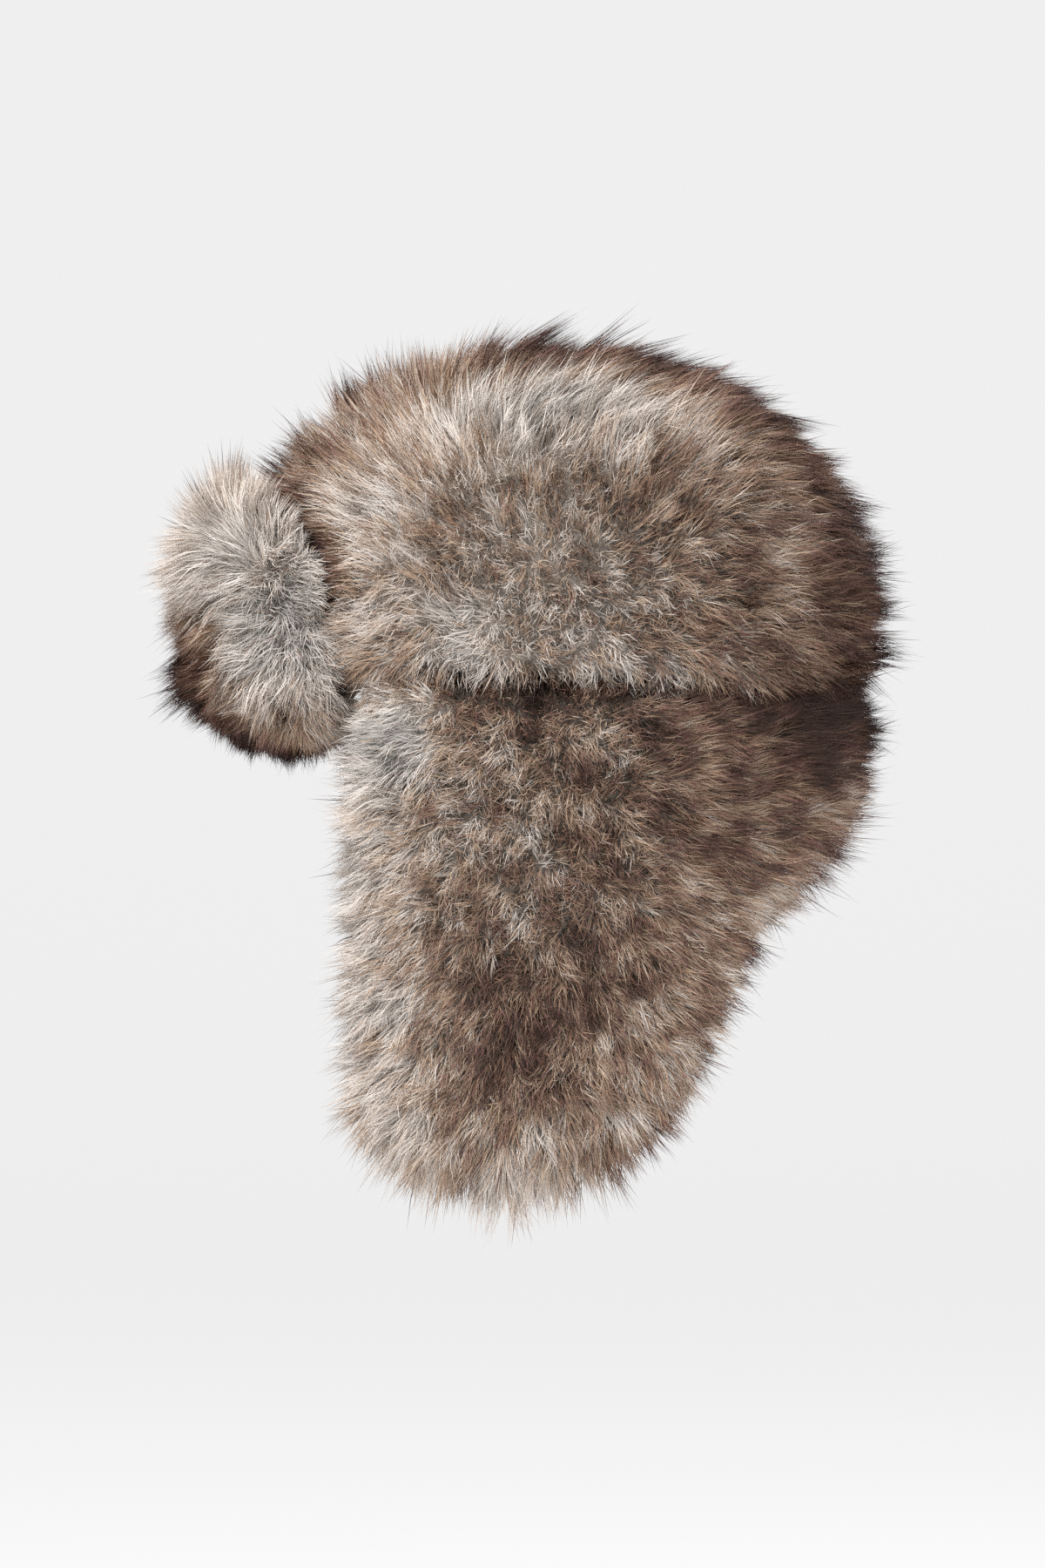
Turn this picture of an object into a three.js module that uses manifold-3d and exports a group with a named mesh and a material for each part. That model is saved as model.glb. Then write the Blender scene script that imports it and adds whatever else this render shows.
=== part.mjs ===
// A fur trapper hat, as worn: a deep round crown, a front flap that is turned up against it, and one long flap
// that hangs from the crown's seam over both ears and the nape.
// Each of the three is a fur cloth. Its cloth is a thin wall, and its deep fur is the solid of the fur's outer form.
// Millimetres. +Z is up, -Y is the front, +X is the wearer's left.
// The origin is inside the crown, where the top of the head bears on it.
import * as THREE from "three";
import { mergeVertices } from "three/addons/utils/BufferGeometryUtils.js";
import Module from "manifold-3d";

const wasm = await Module();
wasm.setup();

// The hollow of the crown, which is the size of a head of about 59 cm round.
const HEAD_LENGTH = 206;
const HEAD_WIDTH = 168;
const CROWN_DEPTH = 112.5; // from the seam up to the inside of the top
const SKIRT_HEIGHT = 30; // the upright lower part of the crown
const ROUNDNESS = 2.15; // of the dome's outline, where 2 is an ellipse
const SEAM_FALL = 0.05; // how much the seam drops for each millimetre towards the back

const CLOTH = 3; // thickness of the fur cloth's backing
const PILE = 28.5; // how far the fur stands off the cloth
const GAP = 0.4; // between pieces that lie against each other
const EDGE = 2; // thickness of the fur's form at its thin edges

// The front flap. From the seam it folds outwards and up, and it leans away from the crown.
const FRONT_TURN = 38; // degrees from the middle of the front to each end
const FRONT_FOLD = 6; // radius of the fold at its foot
const FRONT_HEIGHT = 62; // from the fold up to its top edge
const FRONT_LEAN = 6.5; // degrees
const FRONT_CORNER = 0.3; // share of its height that its ends lose
const FRONT_PILE = 35; // its fur is fluffed up
const FRONT_OVER = 23; // how far its fur passes its top edge
const FRONT_PAST = 16; // how far its fur passes its ends
const FRONT_FULL = 12; // length along the fold in which its fur comes to its full height

// The ear and neck flap, which hangs from the seam.
const CHEEK = 9; // how far the ear flaps' lowest parts lie in towards the cheeks
const NAPE_TUCK = 0.2; // how much the nape leans in for each millimetre down
const EAR_PAST = 24; // how far the fur passes the ear flaps' front edges
const EAR_CORNER = 42; // how much shorter the fur is at the tips of those front edges
const EAR_ROUND = 30; // radius of the fur's form along its lower edge
const SEAM_ROUND = 13; // radius of the fur's form along the seam
const SEAM_FULLNESS = 0.72; // share of the pile that stands right at the seam
const FRONT_EDGE = 51; // degrees from the middle of the front to the ear flap's front edge
// The lower edge on one side: degrees from the front, and how far the cloth and the fur reach below the seam's level.
const LOWER_EDGE = [
  { turn: 51, cloth: 156, fur: 201 },
  { turn: 56, cloth: 171, fur: 209 },
  { turn: 64, cloth: 184, fur: 216 },
  { turn: 74, cloth: 192, fur: 220 },
  { turn: 84, cloth: 192, fur: 220 },
  { turn: 94, cloth: 187, fur: 214 },
  { turn: 102, cloth: 178, fur: 206 },
  { turn: 109, cloth: 163, fur: 196 },
  { turn: 115, cloth: 140, fur: 182 },
  { turn: 122, cloth: 112, fur: 156 },
  { turn: 130, cloth: 93, fur: 121 },
  { turn: 145, cloth: 76, fur: 102 },
  { turn: 160, cloth: 62, fur: 88 },
  { turn: 180, cloth: 54, fur: 80 },
];
const EAR_LENGTH = Math.max(...LOWER_EDGE.map((row) => row.cloth));

const AROUND = 34; // columns round the crown
const UP_CROWN = 10; // rows from the seam to the top
const ALONG_FRONT = 14; // columns along the front flap
const ROUND_FOLD = 5; // rows round the fold at the front flap's foot
const FUR_FROM = 2; // the row of the fold at which the front flap's fur starts
const UP_FRONT = 5; // rows from the fold to its top edge
const ALONG_EAR = 35; // columns along the ear and neck flap
const UP_EAR = 10;
const NOSE = [1, 0.93, 0.72, 0.4]; // shares of the fur's reach past an end, from its tip inwards
const WELD = 1e-3; // points nearer than this are one point

const radians = THREE.MathUtils.degToRad;
const clamp01 = (value) => Math.min(Math.max(value, 0), 1);

/** The height of the seam at an angle from the front. */
const seamHeight = (turn) => (SEAM_FALL * HEAD_LENGTH * Math.cos(turn)) / 2;

/** The share of a quarter round's height at a distance in from its edge. */
const quarterRound = (distance, radius) => Math.sqrt(1 - (1 - clamp01(distance / radius)) ** 2);

/** Even shares from 0 to 1 that lie closer together near both ends. */
const easedShares = (steps) => Array.from({ length: steps + 1 }, (_, i) => (1 - Math.cos((Math.PI * i) / steps)) / 2);

/** A column of the lower edge's table at an angle from the front, on either side. */
function lowerEdge(turn, column) {
  const degrees = THREE.MathUtils.radToDeg(turn);
  const beside = Math.min(degrees, 360 - degrees);
  const next = Math.max(1, LOWER_EDGE.findIndex((row) => row.turn >= beside - WELD));
  const [low, high] = [LOWER_EDGE[next - 1], LOWER_EDGE[next]];
  return THREE.MathUtils.lerp(low[column], high[column], clamp01((beside - low.turn) / (high.turn - low.turn)));
}

/** A point on the crown: turn is the angle from the front, climb runs from 0 at the seam to 1 at the top. */
function crownPoint(turn, climb, out) {
  const skirtShare = SKIRT_HEIGHT / (SKIRT_HEIGHT + CROWN_DEPTH);
  const lift = (clamp01((climb - skirtShare) / (1 - skirtShare)) * Math.PI) / 2;
  const reach = Math.cos(lift) ** (2 / ROUNDNESS);
  const x = (HEAD_WIDTH / 2 + out) * reach * Math.sin(turn);
  const y = -(HEAD_LENGTH / 2 + out) * reach * Math.cos(turn);
  const upright = THREE.MathUtils.lerp(seamHeight(turn), SKIRT_HEIGHT, clamp01(climb / skirtShare));
  const domeHeight = CROWN_DEPTH - SKIRT_HEIGHT + out;
  return new THREE.Vector3(x, y, upright + domeHeight * Math.sin(lift) ** (2 / ROUNDNESS));
}

/** The height of the front flap's cloth above the fold, at an angle from the middle of the front. */
const frontTop = (turn) => FRONT_HEIGHT * (1 - FRONT_CORNER * Math.min(Math.abs(turn) / radians(FRONT_TURN), 1) ** 4);

/** The length of the fold at the front flap's foot. */
const foldLength = () => FRONT_FOLD * (Math.PI - radians(FRONT_LEAN));

/**
 * A point on the front flap, or on its fur that goes straight on past its ends. Length runs from the seam round
 * the fold and on up the flap, and out is the distance from the side that faces the crown.
 */
function frontPoint({ turn, past }, length, out) {
  const bend = Math.min(Math.max(length, 0) / FRONT_FOLD, Math.PI - radians(FRONT_LEAN));
  const straight = length - bend * FRONT_FOLD;
  const [cos, sin] = [Math.cos(bend), Math.sin(bend)];
  const off = CLOTH + FRONT_FOLD * (1 - cos) + straight * sin - out * cos;
  const [halfWidth, halfLength] = [HEAD_WIDTH / 2 + off, HEAD_LENGTH / 2 + off];
  const height = seamHeight(turn) - GAP - FRONT_FOLD * sin - straight * cos - out * sin;
  const point = new THREE.Vector3(halfWidth * Math.sin(turn), -halfLength * Math.cos(turn), height);
  const onward = new THREE.Vector3(halfWidth * Math.cos(turn), halfLength * Math.sin(turn), 0).normalize();
  return point.addScaledVector(onward, past);
}

/** A point on the ear and neck flap, or on its fur that goes straight on past its front edges. */
function earPoint({ turn, past }, height, out) {
  const drop = Math.max(0, -height);
  const nape = Math.max(0, -Math.cos(turn)) ** 2;
  const halfWidth = HEAD_WIDTH / 2 + CLOTH + out - CHEEK * (drop / EAR_LENGTH) ** 1.5;
  const halfLength = HEAD_LENGTH / 2 + CLOTH + out - NAPE_TUCK * drop * nape;
  const point = new THREE.Vector3(halfWidth * Math.sin(turn), -halfLength * Math.cos(turn), height);
  const onward = new THREE.Vector3(halfWidth * Math.cos(turn), halfLength * Math.sin(turn), 0).normalize();
  return point.addScaledVector(onward, past);
}

/** Stations from one angle to another. With reach, more of them run straight on past both ends. */
function stationsBetween(from, to, steps, reach = 0) {
  const between = Array.from({ length: steps + 1 }, (_, i) => ({
    turn: THREE.MathUtils.lerp(from, to, i / steps),
    past: 0,
  }));
  if (!reach) return between;
  const before = NOSE.map((share) => ({ turn: from, past: -share * reach }));
  const after = NOSE.map((share) => ({ turn: to, past: share * reach })).reverse();
  return [...before, ...between, ...after];
}

/** Drops the triangles that have lost their width, once points in one place are joined. */
function welded(geometry) {
  const merged = mergeVertices(geometry, WELD);
  const kept = [];
  for (let i = 0; i < merged.index.count; i += 3) {
    const corners = [0, 1, 2].map((k) => merged.index.getX(i + k));
    if (new Set(corners).size === 3) kept.push(...corners);
  }
  return merged.setIndex(kept);
}

/**
 * The closed solid between two grids of points, each a list of columns that run upwards.
 * With wraps, the last column meets the first.
 */
function slab(outer, inner, wraps = false) {
  const columns = outer.length;
  const rows = outer[0].length;
  const at = (side, column, row) => (side * columns + (column % columns)) * rows + row;
  const triangles = [];
  const quad = (a, b, c, d) => triangles.push(a, b, c, a, c, d);
  const spans = wraps ? columns : columns - 1;
  for (let i = 0; i < spans; i++) {
    for (let j = 0; j < rows - 1; j++) {
      quad(at(0, i, j), at(0, i + 1, j), at(0, i + 1, j + 1), at(0, i, j + 1));
      quad(at(1, i, j), at(1, i, j + 1), at(1, i + 1, j + 1), at(1, i + 1, j));
    }
    quad(at(0, i + 1, 0), at(0, i, 0), at(1, i, 0), at(1, i + 1, 0));
    quad(at(0, i, rows - 1), at(0, i + 1, rows - 1), at(1, i + 1, rows - 1), at(1, i, rows - 1));
  }
  for (let j = 0; j < rows - 1 && !wraps; j++) {
    quad(at(0, 0, j), at(0, 0, j + 1), at(1, 0, j + 1), at(1, 0, j));
    quad(at(0, columns - 1, j + 1), at(0, columns - 1, j), at(1, columns - 1, j), at(1, columns - 1, j + 1));
  }
  const positions = [...outer, ...inner].flat().flatMap((point) => point.toArray());
  const geometry = new THREE.BufferGeometry();
  geometry.setAttribute("position", new THREE.Float32BufferAttribute(positions, 3));
  geometry.setIndex(triangles);
  return welded(geometry);
}

/** A grid of points: one column for each station, with a point for each share of the way up. */
const grid = (stations, shares, pointAt) =>
  stations.map((station) => shares.map((share) => pointAt(station, share)));

/** A closed geometry as a solid that can be cut. */
function solidOf(geometry) {
  const vertProperties = geometry.attributes.position.array;
  return new wasm.Manifold(new wasm.Mesh({ numProp: 3, vertProperties, triVerts: new Uint32Array(geometry.index.array) }));
}

/** The geometry that is left of one solid when others are cut out of it. Slivers that come loose are dropped. */
function cutBy(geometry, cutters) {
  const rest = cutters.reduce((solid, cutter) => solid.subtract(solidOf(cutter)), solidOf(geometry));
  const pieces = rest.decompose().sort((a, b) => b.volume() - a.volume());
  const { vertProperties, triVerts } = pieces[0].getMesh();
  const left = new THREE.BufferGeometry();
  left.setAttribute("position", new THREE.BufferAttribute(new Float32Array(vertProperties), 3));
  left.setIndex(new THREE.BufferAttribute(new Uint32Array(triVerts), 1));
  return left;
}

/** The crown's cloth: a dome that is open below. */
function crownCloth() {
  const turns = stationsBetween(0, 2 * Math.PI, AROUND).slice(0, AROUND);
  const shares = Array.from({ length: UP_CROWN + 1 }, (_, i) => i / UP_CROWN);
  const face = (out) => grid(turns, shares, ({ turn }, climb) => crownPoint(turn, climb, out));
  return slab(face(CLOTH), face(0), true);
}

/** The fur on the crown, as thick as its pile and a little thinner at the seam. */
function crownFur() {
  const turns = stationsBetween(0, 2 * Math.PI, AROUND).slice(0, AROUND);
  const nearSeam = [0, 0.02, 0.06];
  const shares = [...nearSeam, ...Array.from({ length: UP_CROWN }, (_, i) => (i + 1) / UP_CROWN)];
  const rise = SKIRT_HEIGHT + CROWN_DEPTH;
  const inner = grid(turns, shares, ({ turn }, climb) => crownPoint(turn, climb, CLOTH + GAP));
  const outer = grid(turns, shares, ({ turn }, climb) => {
    const fullness = THREE.MathUtils.lerp(SEAM_FULLNESS, 1, quarterRound(climb * rise, SEAM_ROUND));
    return crownPoint(turn, climb, CLOTH + GAP + PILE * fullness);
  });
  return slab(outer, inner, true);
}

/** The lengths along the front flap at which it has rows: round its fold, and up to its top edge. */
function frontRows(turn, clearance) {
  const fold = Array.from({ length: ROUND_FOLD }, (_, i) => (i / ROUND_FOLD) * foldLength() - (i ? 0 : clearance));
  const rise = Array.from({ length: UP_FRONT + 1 }, (_, i) => (i / UP_FRONT) * frontTop(turn));
  return [...fold, ...rise.map((length, i) => foldLength() + length + (i === UP_FRONT ? clearance : 0))];
}

/** The front flap's cloth. With a clearance, it is that much larger all round. */
function frontCloth(clearance = 0) {
  const end = radians(FRONT_TURN) + clearance / (HEAD_WIDTH / 2);
  const stations = stationsBetween(-end, end, ALONG_FRONT);
  const face = (out) => stations.map((at) => frontRows(at.turn, clearance).map((row) => frontPoint(at, row, out)));
  return slab(face(CLOTH + clearance), face(-clearance));
}

/** The front flap's fur, a fat roll from just past the seam, which passes the cloth's top edge and its ends. */
function frontFur(clearance = 0) {
  const reach = FRONT_PAST + clearance;
  const over = FRONT_OVER + clearance;
  const stations = stationsBetween(-radians(FRONT_TURN), radians(FRONT_TURN), ALONG_FRONT, reach);
  const rows = (turn) => {
    const up = frontRows(turn, 0).slice(FUR_FROM);
    up[0] -= clearance;
    const top = up[up.length - 1];
    return [...up, ...NOSE.map((share) => top + share * over).reverse()];
  };
  const thickness = (at, row) => {
    const foot = quarterRound(row - rows(at.turn)[0], FRONT_FULL);
    const top = Math.sqrt(1 - clamp01((row - foldLength() - frontTop(at.turn)) / over) ** 2);
    const end = Math.sqrt(1 - clamp01(Math.abs(at.past) / reach) ** 2);
    return EDGE + (FRONT_PILE - EDGE) * foot * top * end;
  };
  const start = CLOTH + GAP - clearance;
  const inner = stations.map((at) => rows(at.turn).map((row) => frontPoint(at, row, start)));
  const outer = stations.map((at) =>
    rows(at.turn).map((row) => frontPoint(at, row, start + thickness(at, row) + 2 * clearance)));
  return slab(outer, inner);
}

/** The height of the ear and neck flap's top edge, right under the crown's. */
const earTop = ({ turn }) => seamHeight(turn) - GAP;

/** The cloth of the ear and neck flap. */
function earCloth() {
  const stations = stationsBetween(radians(FRONT_EDGE), radians(360 - FRONT_EDGE), ALONG_EAR);
  const shares = easedShares(UP_EAR);
  const height = (at, share) => THREE.MathUtils.lerp(-lowerEdge(at.turn, "cloth"), earTop(at), share);
  const face = (out) => grid(stations, shares, (at, share) => earPoint(at, height(at, share), out));
  return slab(face(0), face(-CLOTH));
}

/** The fur of the ear and neck flap, which passes the cloth's front and lower edges. */
function earFur() {
  const [from, to] = [radians(FRONT_EDGE), radians(360 - FRONT_EDGE)];
  const stations = stationsBetween(from, to, ALONG_EAR, EAR_PAST);
  const shares = easedShares(UP_EAR + 2);
  const bottom = (at) => -lowerEdge(at.turn, "fur") + EAR_CORNER * (at.past / EAR_PAST) ** 2;
  const height = (at, share) => THREE.MathUtils.lerp(bottom(at), earTop(at), share);
  const thickness = (at, share) => {
    const here = height(at, share);
    const low = quarterRound(here - bottom(at), EAR_ROUND);
    const seam = THREE.MathUtils.lerp(SEAM_FULLNESS, 1, quarterRound(earTop(at) - here, SEAM_ROUND));
    const end = Math.sqrt(1 - (Math.abs(at.past) / EAR_PAST) ** 2);
    return EDGE + (PILE - EDGE) * low * seam * end;
  };
  const inner = grid(stations, shares, (at, share) => earPoint(at, height(at, share), GAP));
  const outer = grid(stations, shares, (at, share) => earPoint(at, height(at, share), GAP + thickness(at, share)));
  return slab(outer, inner);
}

const backing = new THREE.MeshStandardMaterial({ color: 0x6d625a, roughness: 0.95, metalness: 0 });
const paleFur = new THREE.MeshStandardMaterial({ color: 0xa39587, roughness: 0.9, metalness: 0 });
const darkFur = new THREE.MeshStandardMaterial({ color: 0x84766b, roughness: 0.9, metalness: 0 });

/** A named piece of the hat. */
function piece(name, geometry, material) {
  const flat = geometry.toNonIndexed();
  flat.computeVertexNormals();
  const mesh = new THREE.Mesh(flat, material);
  mesh.name = name;
  return mesh;
}

// The front flap's own pieces, grown by the gap, are cut out of the fur that they press into.
const frontCutters = [frontCloth(GAP), frontFur(GAP)];

const pieces = new THREE.Group();
pieces.add(
  piece("crown", crownCloth(), backing),
  piece("crown_fur", cutBy(crownFur(), frontCutters), paleFur),
  piece("front_flap", frontCloth(), backing),
  piece("front_flap_fur", frontFur(), paleFur),
  piece("ear_neck_flap", earCloth(), backing),
  piece("ear_neck_flap_fur", cutBy(earFur(), frontCutters), darkFur),
);
pieces.position.z = -CROWN_DEPTH;

const hat = new THREE.Group();
hat.name = "fur_trapper_hat";
hat.add(pieces);

export default hat;
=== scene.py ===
"""A fur trapper hat: the looks of its crown, its front flap, and its ear and neck flap.

Each of the three is a cloth with deep fur on it. The cloth keeps its solid and gets a woven finish. The fur's solid
gives way to a short dense undercoat, and to two sorts of hair that stand in it: fine underfur and longer guard hair
with dark tips.
"""

from __future__ import annotations

import logging
import math
from dataclasses import dataclass, replace
from enum import Enum
from typing import Any, Callable, Sequence

import bmesh
import bpy
import numpy as np
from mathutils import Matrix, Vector


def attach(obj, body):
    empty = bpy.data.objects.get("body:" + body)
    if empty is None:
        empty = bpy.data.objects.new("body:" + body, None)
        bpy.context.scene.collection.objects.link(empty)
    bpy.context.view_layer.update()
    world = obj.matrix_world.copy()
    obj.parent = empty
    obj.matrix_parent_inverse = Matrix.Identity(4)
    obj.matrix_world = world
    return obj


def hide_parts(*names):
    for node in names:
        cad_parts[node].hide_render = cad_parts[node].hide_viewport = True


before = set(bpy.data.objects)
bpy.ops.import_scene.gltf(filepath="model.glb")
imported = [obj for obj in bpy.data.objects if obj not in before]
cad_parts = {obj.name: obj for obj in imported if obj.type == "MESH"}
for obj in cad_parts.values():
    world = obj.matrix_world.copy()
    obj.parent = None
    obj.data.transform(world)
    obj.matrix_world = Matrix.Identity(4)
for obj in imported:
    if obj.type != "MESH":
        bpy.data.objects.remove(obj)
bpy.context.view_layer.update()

LOG = logging.getLogger("fur_hat")
BODY = "root"
MM = 0.001
COLOUR_MAP = "OFBake"
TONE = "tone"
# A tone's place across the colour map, where the palest hair is at the left and the darkest at the right.
MAP_SHARE = 0.75
# A distance in metres that stands for none where it is divided by.
NOWHERE = 1e-6
# How many straight pieces a hair is bent from.
BLADE_SEGMENTS = 2
# Points of a mesh that are nearer to each other than this, in metres, are one point.
JOINED_WITHIN = 1e-5
# How much further on the seeds of a lock's or a tuft's own chance and sway are.
CHANCE_FURTHER = 100.0
SWAY_FURTHER = 200.0
# A wave texture's scale times the width of one of its bands.
BANDS_PER_SCALE = 0.314
Array = np.ndarray
Triple = tuple[float, float, float]
Socket = bpy.types.NodeSocket


class Coat(Enum):
    """The two sorts of hair in the fur."""

    UNDERFUR = "underfur"
    GUARD = "guard_hair"


class Hold(Enum):
    """The ways that a flap's cloth is held."""

    HUNG = "hung"
    FOLDED = "folded"


@dataclass(frozen=True)
class Rise:
    """A smooth step from 0 to 1, by the value where it starts and by how far it takes."""

    start: float
    over: float

    def at(self, value: Array) -> Array:
        """The step's height at a value."""
        share = np.clip((value - self.start) / self.over, 0.0, 1.0)
        return share * share * (3.0 - 2.0 * share)


@dataclass(frozen=True)
class Hump:
    """A smooth hump from 0 up to 1 and back, by the value at its middle and by its reach to each side."""

    middle: float
    reach: float

    def at(self, value: Array) -> Array:
        """The hump's height at a value."""
        return np.exp(-(((value - self.middle) / self.reach) ** 2))


@dataclass(frozen=True)
class Spot:
    """A smooth oval hump on the side of the hat, by its middle and by its reach along y and along z."""

    y: float
    z: float
    reach_y: float
    reach_z: float

    def at(self, points: Array) -> Array:
        """The hump's height at each point."""
        apart = ((points[:, 1] - self.y) / self.reach_y) ** 2 + ((points[:, 2] - self.z) / self.reach_z) ** 2
        return np.exp(-apart)


def from_side(points: Array, centre: Triple) -> Array:
    """Each point as seen from the centre of its own side of the hat."""
    sides = np.stack([np.sign(points[:, 0]), *np.ones((2, len(points)))], axis=1)
    return points - np.array(centre) * sides


def outwards(away: Array, strength: float, still: Rise) -> Array:
    """Straight out from a side's centre, and not at all near it."""
    distance = np.linalg.norm(away[:, 1:], axis=1, keepdims=True)
    return away / np.maximum(distance, NOWHERE) * strength * still.at(distance)


def quarter_round(distance: Array, radius: float) -> Array:
    """The share of a quarter round's height at a distance in from its edge."""
    return np.sqrt(1.0 - (1.0 - np.clip(distance / radius, 0.0, 1.0)) ** 2)


@dataclass(frozen=True)
class HeadForm:
    """The hollow that the hat is made round, in metres. Heights count from the seam until they are placed."""

    length: float = 0.206
    width: float = 0.168
    crown_depth: float = 0.1125
    skirt: float = 0.030
    roundness: float = 2.15
    seam_fall: float = 0.05
    cloth: float = 0.003
    gap: float = 0.0004

    def seam(self, turn: Array) -> Array:
        """The seam's height at an angle from the front."""
        return self.seam_fall * self.length * np.cos(turn) / 2

    def ring(self, turn: Array, across: Array, along: Array, past: Array) -> tuple[Array, Array]:
        """Places round an ellipse, or straight on from it.

        Args:
            turn: The angle from the front.
            across: Half the ellipse's width.
            along: Half its length.
            past: How far each place has gone straight on from the ellipse.

        Returns:
            The x and y of each place.
        """
        onward_x, onward_y = across * np.cos(turn), along * np.sin(turn)
        size = np.hypot(onward_x, onward_y)
        return across * np.sin(turn) + past * onward_x / size, -along * np.cos(turn) + past * onward_y / size

    def placed(self, x: Array, y: Array, z: Array) -> Array:
        """Points in the row's frame, whose origin is inside the crown's top."""
        return np.stack(np.broadcast_arrays(x, y, z - self.crown_depth), axis=-1)


HEAD = HeadForm()


@dataclass(frozen=True)
class Patch:
    """A round place in the fur that is darker or paler than the rest, seen from the side. Sizes are millimetres."""

    y: float
    z: float
    radius: float
    darker: float

    def at(self, points: Array) -> Array:
        """How much darker the fur is at each point."""
        apart = np.hypot(points[:, 1] / MM - self.y, points[:, 2] / MM - self.z)
        return self.darker * np.exp(-((apart / self.radius) ** 2))


def patches(*rows: tuple[float, float, float, float]) -> tuple[Patch, ...]:
    """Patches, from a y, a z, a radius and how much darker it is for each."""
    return tuple(Patch(*row) for row in rows)


@dataclass(frozen=True)
class Cut:
    """The flat shape that a flap's cloth was cut to, in metres and square metres, and how the cloth is held."""

    width: float
    length: float
    area: float
    held: Hold


@dataclass(frozen=True)
class HairSort:
    """The sizes of one sort of hair. Lengths are metres and angles are degrees from upright."""

    coat: Coat
    count: int
    length: float
    width: float
    root_lean: float
    tip_lean: float
    lock: float
    lock_pull: float
    tuft: float
    tuft_pull: float
    stray: float
    mixture: float
    paler: float
    seed: int
    mottle: float = 1.3


SHORT_SORT = HairSort(
    coat=Coat.UNDERFUR,
    count=64000,
    length=0.016,
    width=0.00036,
    root_lean=14,
    tip_lean=34,
    lock=0.0018,
    lock_pull=0.70,
    tuft=0.0052,
    tuft_pull=0.40,
    stray=0.0024,
    mixture=0.28,
    paler=0.14,
    seed=11,
)
LONG_SORT = HairSort(
    coat=Coat.GUARD,
    count=64000,
    length=0.022,
    width=0.00035,
    root_lean=14,
    tip_lean=36,
    lock=0.0026,
    lock_pull=0.80,
    tuft=0.0064,
    tuft_pull=0.55,
    stray=0.0028,
    mixture=0.32,
    paler=0.0,
    seed=12,
)


@dataclass(frozen=True)
class Finish:
    """What every finish has: its name, and how matt and how sheeny it is."""

    name: str
    roughness: float = 0.6
    specular: float = 0.3

    def blank(self) -> tuple[bpy.types.Material, bpy.types.ShaderNodeTree, bpy.types.Node]:
        """A new material with its Principled shader set up.

        Returns:
            The material, its tree and its Principled node.
        """
        material = bpy.data.materials.new(self.name)
        material.use_nodes = True
        tree = material.node_tree
        shader = tree.nodes["Principled BSDF"]
        shader.inputs["Roughness"].default_value = self.roughness
        shader.inputs["Specular IOR Level"].default_value = self.specular
        return material, tree, shader


@dataclass(frozen=True)
class RampStop:
    """One colour along a hair, by the share of its length from the root. Colours are as seen, from 0 to 255."""

    share: float
    red: float
    green: float
    blue: float

    def linear(self) -> tuple[float, float, float, float]:
        """The colour in linear light, with no transparency.

        Returns:
            Its red, green, blue and opacity.
        """
        seen = np.array([self.red, self.green, self.blue]) / 255.0
        light = np.where(seen <= 0.04045, seen / 12.92, ((seen + 0.055) / 1.055) ** 2.4)
        return (*(float(v) for v in light), 1.0)


def ramp_node(tree: bpy.types.NodeTree, factor: Socket, stops: Sequence[RampStop]) -> Socket:
    """A colour ramp through the stops.

    Args:
        tree: The tree that it goes in.
        factor: What it is read by.
        stops: Its colours, in order.

    Returns:
        Its colour socket.
    """
    node = tree.nodes.new("ShaderNodeValToRGB")
    elements = node.color_ramp.elements
    while len(elements) < len(stops):
        elements.new(0.5)
    for element, stop in zip(elements, stops):
        element.position = stop.share
        element.color = stop.linear()
    tree.links.new(factor, node.inputs["Fac"])
    return node.outputs["Color"]


def math_node(tree: bpy.types.NodeTree, operation: str, *values: Any) -> Socket:
    """A number worked out from sockets and numbers.

    Args:
        tree: The tree that it goes in.
        operation: How it is worked out.
        *values: What it is worked out from.

    Returns:
        Its socket.
    """
    node = tree.nodes.new("ShaderNodeMath")
    node.operation = operation
    for socket, value in zip(node.inputs, values):
        if isinstance(value, Socket):
            tree.links.new(value, socket)
        else:
            socket.default_value = value
    return node.outputs[0]


def noise_node(tree: bpy.types.NodeTree, scale: float, detail: float) -> Socket:
    """A smooth noise on Object coordinates.

    Args:
        tree: The tree that it goes in.
        scale: How many waves it has for each metre.
        detail: How many finer layers it has.

    Returns:
        Its socket.
    """
    noise = tree.nodes.new("ShaderNodeTexNoise")
    noise.inputs["Scale"].default_value = scale
    noise.inputs["Detail"].default_value = detail
    tree.links.new(tree.nodes.new("ShaderNodeTexCoord").outputs["Object"], noise.inputs["Vector"])
    return noise.outputs[0]


def mix_node(tree: bpy.types.NodeTree, factor: Any, paler: Any, darker: Any) -> Socket:
    """A mix of two colours.

    Args:
        tree: The tree that it goes in.
        factor: The darker one's share.
        paler: The colour socket that it starts at.
        darker: The colour socket that it ends at.

    Returns:
        Its colour socket.
    """
    mix = tree.nodes.new("ShaderNodeMix")
    mix.data_type = "RGBA"
    first, second = [socket for socket in mix.inputs if socket.type == "RGBA"]
    tree.links.new(factor, mix.inputs["Factor"])
    tree.links.new(paler, first)
    tree.links.new(darker, second)
    return next(socket for socket in mix.outputs if socket.type == "RGBA")


def bump_node(tree: bpy.types.NodeTree, height: Any, strength: float, distance: float) -> Socket:
    """A bump from a height.

    Args:
        tree: The tree that it goes in.
        height: The height's socket.
        strength: How strong it is.
        distance: How deep it is in metres.

    Returns:
        Its normal socket.
    """
    bump = tree.nodes.new("ShaderNodeBump")
    bump.inputs["Strength"].default_value = strength
    bump.inputs["Distance"].default_value = distance
    tree.links.new(height, bump.inputs["Height"])
    return bump.outputs["Normal"]


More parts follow.
